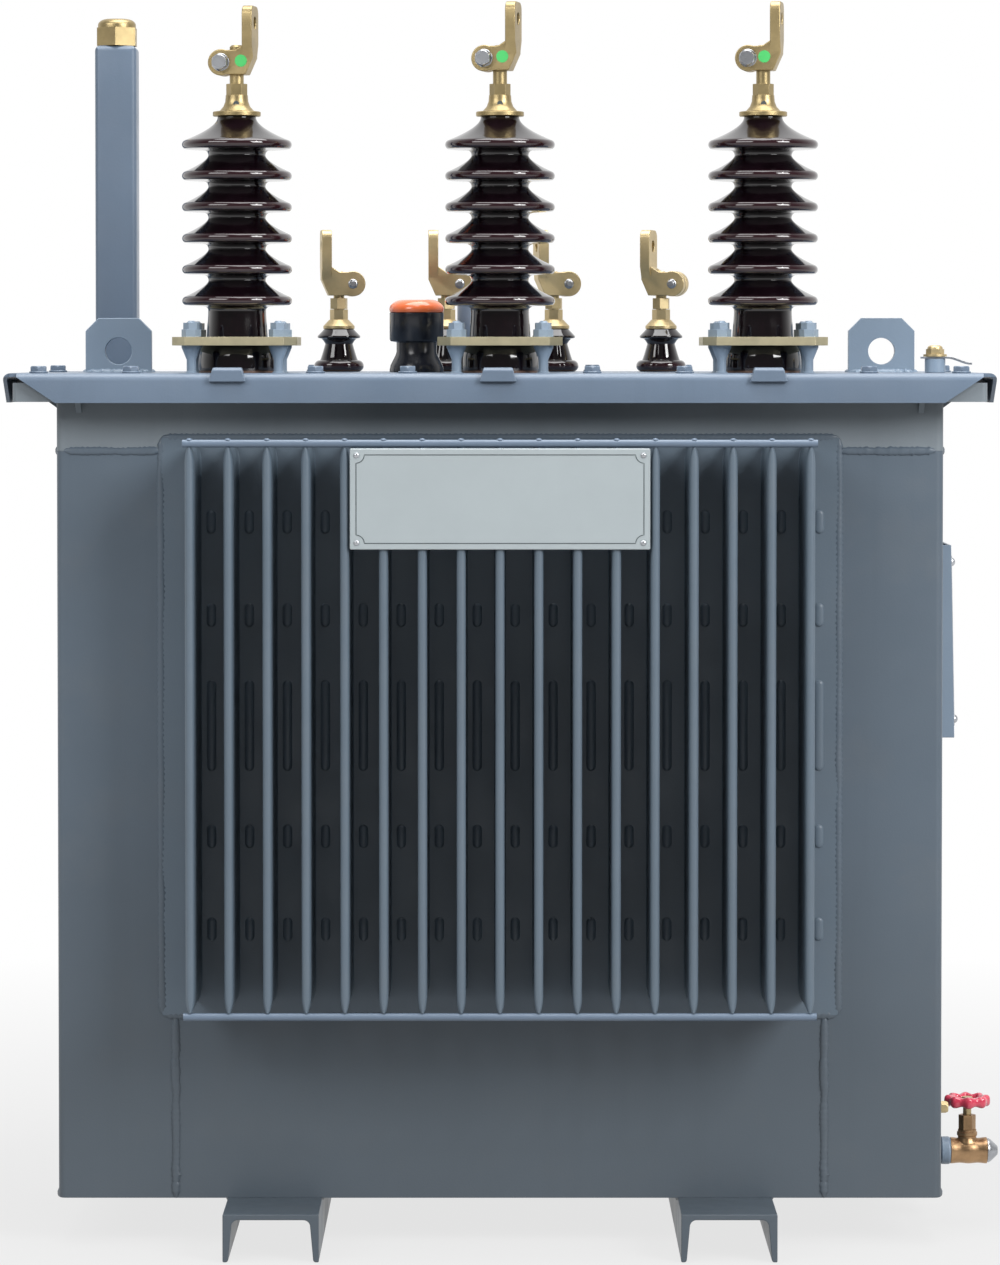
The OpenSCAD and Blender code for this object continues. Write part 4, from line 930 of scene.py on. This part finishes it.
class TerminalOperator(bpy.types.Operator):
    """Dresses the brass terminals and adds their clamp bolts"""

    bl_idname = "transformer.terminals"
    bl_label = "Dress terminals"

    PALM_REACH = 14.5 * MM
    CLAMP_REACH = 15 * MM
    CLAMP_DROP = 42 * MM
    CLAMP_DEPTH = 24 * MM
    DOT = 13 * MM
    # How far each dot sits from its stem towards the palm
    DOT_SHIFTS = (7 * MM, 5 * MM, 2.5 * MM)
    CAP_RADIUS = 13 * MM
    BLEED_RISE = 13 * MM

    def execute(self, context):
        fasteners = context.scene.transformer_fasteners
        for voltage, finish in (("hv", "aged_brass"), ("lv", "brass")):
            soft_edged(finish, 0.5, voltage + "_stems")
            soft_edged(finish, 2.0, voltage + "_connectors")
        head = bolt(fasteners.clamp_flats, 7.0 * MM, fasteners.clamp_flats * 1.2, 1.6 * MM)
        pan = merged([dome(11 * MM, 1.6 * MM), moved(hexagon_head(6.5 * MM, 2.2 * MM), (0, 0, 1.2 * MM))])
        self.clamp_bolts("hv_clamp_bolts", HV_PALMS, head)
        self.clamp_bolts("lv_clamp_bolts", LV_PALMS, pan)
        dot = lathe([(self.DOT / 2, -0.1 * MM), (self.DOT / 2, 0.25 * MM)], 40)
        dots = []
        for shift, mount in zip(self.DOT_SHIFTS, HV_PALMS):
            stem, palm, front = self.clamp(mount)
            place = stem + front * self.CLAMP_DEPTH / 2 + palm * shift + (0, 0, 1.5 * MM)
            dots.append(moved(pointed(dot, front), place))
        piece("inspection_dots", merged(dots), "green_dot")
        # A dark disc on each cap stands in for its bleed hole: painted shade inside the hole
        spot = pointed(lathe([(3 * MM, -1.5 * MM), (3 * MM, 0.4 * MM)], 24), (0, -1))
        face, rise = HV_MIDDLE.y - self.CAP_RADIUS, low("hv_stems").z + self.BLEED_RISE
        bases = [(middle("hv_porcelain_" + side).x, face, rise) for side in HV_SIDES]
        piece("cap_bleed_holes", copies(spot, bases), "line")
        return {"FINISHED"}

    def clamp(self, mount):
        """Middle of a terminal's clamp on its stem, the way to its palm and the way to the front."""
        hole = np.array(MOUNTS[mount]["pos_m"])
        palm = np.array(MOUNTS[mount]["axis"])
        front = np.array([palm[1], -palm[0], 0.0])
        front = front if front[1] < 0 else -front
        return hole - palm * self.PALM_REACH - (0, 0, self.CLAMP_DROP), palm, front

    def clamp_bolts(self, name, mounts, head):
        """A bolt head on each side of the round end of every clamp."""
        shapes = []
        for stem, palm, front in map(self.clamp, mounts):
            for way in (front, -front):
                place = stem - palm * self.CLAMP_REACH + way * self.CLAMP_DEPTH / 2
                shapes.append(moved(pointed(head, way), place))
        piece(name, merged(shapes), "steel")


class PlateOperator(bpy.types.Operator):
    """Makes the bare sign plate and the riveted plate on the bracket"""

    bl_idname = "transformer.plates"
    bl_label = "Make plates"

    LINE_INSET = 6.5 * MM
    NOTCH = 8.5 * MM
    RIVET_INSET = 7 * MM
    PLATE_THICKNESS = 1.5 * MM

    def execute(self, context):
        fasteners = context.scene.transformer_fasteners
        corner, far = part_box("sign_plate")
        width, height, thickness = far.x - corner.x, far.z - corner.z, far.y - corner.y
        place = (0, far.y, (corner.z + far.z) / 2)
        sign = pointed(plate(width, height, thickness, 1.5 * MM, 0.7 * MM), (0, -1))
        piece("sign_enamel", moved(sign, place), "enamel", ["sign_plate"])
        front = (0, corner.y, place[2])
        line = pointed(self.border(width - 2 * self.LINE_INSET, height - 2 * self.LINE_INSET), (0, -1))
        piece("sign_line", moved(line, front), "line")
        x, z = width / 2 - self.RIVET_INSET, height / 2 - self.RIVET_INSET
        rivet = pointed(dome(fasteners.rivet, 1.8 * MM), (0, -1))
        spots = [(a * x, corner.y, place[2] + b * z) for a in (-1, 1) for b in (-1, 1)]
        piece("sign_rivets", copies(rivet, spots), "steel")
        soft_edged("plate_metal", 0.3, "bare_plate")
        self.plate_rivets(fasteners)
        return {"FINISHED"}

    def border(self, width, height):
        """Thin raised line: a small square section carried round a rectangle with hollow corners."""
        x, y, notch = width / 2, height / 2, self.NOTCH
        corners = [((x, y), 270), ((-x, y), 360), ((-x, -y), 90), ((x, -y), 180)]
        path = np.concatenate([arc(centre, notch, start, start - 90, 10) for centre, start in corners])
        along = np.roll(path, -1, 0) - np.roll(path, 1, 0)
        side = np.stack([along[:, 1], -along[:, 0]], 1) / np.linalg.norm(along, axis=1)[:, None]
        half, rise = 0.45 * MM, 0.2 * MM
        section = [(half, -rise), (half, rise), (-half, rise), (-half, -rise)]
        rings = np.stack([np.column_stack([path + side * a, np.full(len(path), b)]) for a, b in section], 1)
        return hoop(rings)

    def plate_rivets(self, fasteners):
        """Four rivets in the corners of the plate on the bracket, which leans out towards its foot."""
        start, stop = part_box("bare_plate")
        inset = self.RIVET_INSET
        lean = (stop.x - start.x - self.PLATE_THICKNESS) / (stop.z - start.z)
        rivet = pointed(dome(fasteners.rivet * 1.6, 4.2 * MM), (1, 0))
        spots = [(stop.x - (z - start.z) * lean, y, z)
                 for y in (start.y + inset, stop.y - inset) for z in (start.z + inset, stop.z - inset)]
        piece("plate_rivets", copies(rivet, spots), "steel")


class DrainOperator(bpy.types.Operator):
    """Makes the cast drain valve and its lobed handwheel"""

    bl_idname = "transformer.drain"
    bl_label = "Make drain valve"

    LOBES = 8
    STUD_SETBACK = 50 * MM
    STUD_HEIGHT = 139 * MM

    def execute(self, context):
        soft_edged("bronze", 0.8, "drain_valve")
        soft_edged("plug_metal", 1.0, "drain_plug")
        self.handwheel()
        stud = pointed(bolt(11 * MM, 9 * MM, 15 * MM, 2 * MM), (1, 0))
        place = (TANK_END, TANK_FACE + self.STUD_SETBACK, self.STUD_HEIGHT)
        piece("earthing_stud", moved(stud, place), "brass")
        return {"FINISHED"}

    def handwheel(self):
        """Rim: a full oval carried round a circle, which swells at each lobe. Oval spokes, hub and nut."""
        start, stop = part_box("drain_handwheel")
        pivot = np.array(frame["joints"][0]["pos_m"])
        radius = (stop.x - start.x) / 2
        height = stop.z - pivot[2]
        angle = np.linspace(0, TURN, 160, endpoint=False)
        lobe = np.cos(angle * self.LOBES)[:, None]
        around = np.linspace(0, TURN, 20, endpoint=False)
        wide, tall = (np.sign(wave) * np.abs(wave) ** 0.75 for wave in (np.cos(around), np.sin(around)))
        ring_r = radius - 6.4 * MM + 1.4 * MM * lobe + 5.0 * MM * wide
        ring_z = height / 2 + (height / 2 + 0.3 * MM + 0.9 * MM * lobe) * tall
        rim = np.stack([ring_r * np.cos(angle)[:, None], ring_r * np.sin(angle)[:, None], ring_z], -1)
        reach = np.linspace(5 * MM, radius - 6 * MM, 6)[:, None]
        wide, tall = 4.6 * MM * np.cos(around), 2.2 * MM * np.sin(around) + 2.4 * MM
        spoke = tube(np.stack(np.broadcast_arrays(reach, wide, tall), -1))
        spokes = [turned(spoke, quarter * TURN / 4) for quarter in range(4)]
        edge = [(7.4 * MM, 0), (8.1 * MM, 0.7 * MM), (8.1 * MM, 4.2 * MM), (7.2 * MM, 5 * MM)]
        hub = lathe(eased(edge, 1), 40)
        nut = moved(hexagon_head(11.6 * MM, 4.5 * MM), (0, 0, 5 * MM))
        shank = lathe([(4.5 * MM, start.z - pivot[2]), (4.5 * MM, 0.5 * MM)], 32)
        piece("wheel_rim", moved(merged([hoop(rim), *spokes, hub]), pivot), "wheel_red", ["drain_handwheel"],
              WHEEL_BODY)
        piece("wheel_stem", moved(merged([shank, nut]), pivot), "brass", (), WHEEL_BODY)


class StageOperator(bpy.types.Operator):
    """Sets the camera, soft lamps, pale floor and white surround"""

    bl_idname = "transformer.stage"
    bl_label = "Set stage"

    # Place, target and size of each lamp, in metres
    LAMPS = {"overhead": ((0.2, -0.2, 4.4), (0, 0, 0.6), (3.4, 3.2)),
             "key": ((3.4, -3.6, 3.0), (0, 0, 0.7), (2.2, 2.2)),
             "spark": ((3.0, -3.0, 3.9), (0, 0, 0.8), (0.22, 0.22)),
             "fill": ((-3.1, -3.5, 3.2), (0, 0, 0.7), (3.4, 2.0))}
    # Reflections see a dim surround towards the camera and a white one behind the object
    MIRRORED = (-0.30, 0.55, 0.12, 1.0)
    # Between these distances from the middle, in metres, white takes these shares of the floor
    WHITE_FLOOR = (0.7, 2.4, 0.76, 1.0)
    FLOOR_RINGS = (0.0001, 0.6, 1.2, 2.0, 3.5, 7.0, 14.0)

    def execute(self, context):
        scene = context.scene
        stage = scene.transformer_stage
        scene.view_settings.view_transform = "Standard"
        self.camera(scene, stage)
        for name, (place, target, size) in self.LAMPS.items():
            self.lamp(name, place, target, size, getattr(stage, name))
        self.surround(scene, stage)
        self.floor(stage)
        return {"FINISHED"}

    def camera(self, scene, stage):
        """Camera in front, at eye height and aimed a little down, with a long lens."""
        lens = bpy.data.cameras.new("camera")
        lens.lens = stage.lens
        lens.sensor_width = 36.0
        lens.shift_y = stage.shift
        lens.clip_end = 100.0
        camera = placed("camera", lens)
        camera.location = (0.0, -stage.distance, stage.eye)
        camera.rotation_euler = (math.pi / 2 - stage.aim, 0.0, 0.0)
        scene.camera = camera

    def lamp(self, name, place, target, size, power):
        """Rectangular soft lamp that faces a target."""
        light = bpy.data.lights.new(name, "AREA")
        light.shape = "RECTANGLE"
        light.size, light.size_y = size
        light.energy = power
        lamp = placed(name, light)
        lamp.location = place
        lamp.rotation_euler = (Vector(target) - Vector(place)).to_track_quat("-Z", "Y").to_euler()

    def seen_ray(self, tree):
        """One for rays that show the surround: from the camera, off gloss or through glass."""
        rays = tree.nodes.new("ShaderNodeLightPath").outputs
        first = larger(tree, rays["Is Camera Ray"], rays["Is Glossy Ray"])
        return larger(tree, first, rays["Is Transmission Ray"])

    def surround(self, scene, stage):
        """White surround where it is seen, and an even sky where it only lights."""
        scene.world = bpy.data.worlds.new("surround")
        tree = cleared(scene.world)
        rays = tree.nodes.new("ShaderNodeLightPath").outputs
        direction = tree.nodes.new("ShaderNodeTexCoord").outputs["Generated"]
        split = add_node(tree, "ShaderNodeSeparateXYZ", Vector=direction).outputs
        glossy = ranged(tree, split["Y"], *self.MIRRORED)
        seen = larger(tree, rays["Is Camera Ray"], glossy)
        strength = add_node(tree, "ShaderNodeMix", {"data_type": "FLOAT"}, i0=self.seen_ray(tree),
                            i2=stage.sky, i3=seen).outputs[0]
        light = add_node(tree, "ShaderNodeBackground", Color=(1, 1, 1, 1), Strength=strength)
        add_node(tree, "ShaderNodeOutputWorld", Surface=light.outputs[0])

    def floor(self, stage):
        """Round pale floor that keeps the shadow near the object and turns white further out."""
        angle = np.linspace(0, TURN, 96, endpoint=False)
        radius = np.array(self.FLOOR_RINGS)[:, None]
        rings = np.stack(np.broadcast_arrays(radius * np.cos(angle), radius * np.sin(angle), -0.2 * MM), -1)
        floor = placed("floor", mesh_of("floor", grid(rings)))
        material = bpy.data.materials.new("pale_floor")
        tree = cleared(material)
        place = add_node(tree, "ShaderNodeVectorMath", {"operation": "LENGTH"},
                         i0=tree.nodes.new("ShaderNodeTexCoord").outputs["Object"]).outputs["Value"]
        grain = noise(tree, object_space(tree), 90, 3)
        tint = blended(tree, grain, shade(stage.floor, 0.97), shade(stage.floor, 1.03))
        matt = add_node(tree, "ShaderNodeBsdfDiffuse", Color=tint)
        white = add_node(tree, "ShaderNodeEmission", Color=(1, 1, 1, 1), Strength=1.0)
        far = ranged(tree, place, *self.WHITE_FLOOR)
        share = add_node(tree, "ShaderNodeMath", {"operation": "MULTIPLY"}, i0=far, i1=self.seen_ray(tree))
        mixed = add_node(tree, "ShaderNodeMixShader", i0=share.outputs[0], i1=matt.outputs[0],
                         i2=white.outputs[0])
        add_node(tree, "ShaderNodeOutputMaterial", Surface=mixed.outputs[0])
        floor.data.materials.append(material)


GROUPS = {"transformer_fins": FinSizes, "transformer_porcelain": PorcelainSizes,
          "transformer_fasteners": FastenerSizes, "transformer_colours": FinishColours,
          "transformer_stage": StageSettings}
OPERATORS = (FinishOperator, TankOperator, FinOperator, WeldOperator, CoverOperator, BushingOperator,
             TerminalOperator, PlateOperator, DrainOperator, StageOperator)


class TransformerPanel(bpy.types.Panel):
    """Lists the steps and the sizes of the transformer's looks"""

    bl_idname = "VIEW3D_PT_transformer"
    bl_label = "Distribution transformer"
    bl_space_type = "VIEW_3D"
    bl_region_type = "UI"
    bl_category = "Transformer"

    def draw(self, context):
        for operator in OPERATORS:
            self.layout.operator(operator.bl_idname, text=operator.bl_label)
        for group, kind in GROUPS.items():
            box = self.layout.box()
            for field in kind.__annotations__:
                box.prop(getattr(context.scene, group), field)


CLASSES = (*GROUPS.values(), *OPERATORS, TransformerPanel)


def register():
    for kind in CLASSES:
        bpy.utils.register_class(kind)
    for group, kind in GROUPS.items():
        setattr(bpy.types.Scene, group, PointerProperty(type=kind))


def unregister():
    for group in GROUPS:
        delattr(bpy.types.Scene, group)
    for kind in reversed(CLASSES):
        bpy.utils.unregister_class(kind)


def main():
    register()
    for operator in OPERATORS:
        family, step = operator.bl_idname.split(".")
        getattr(getattr(bpy.ops, family), step)()


if __name__ == "__main__":
    main()
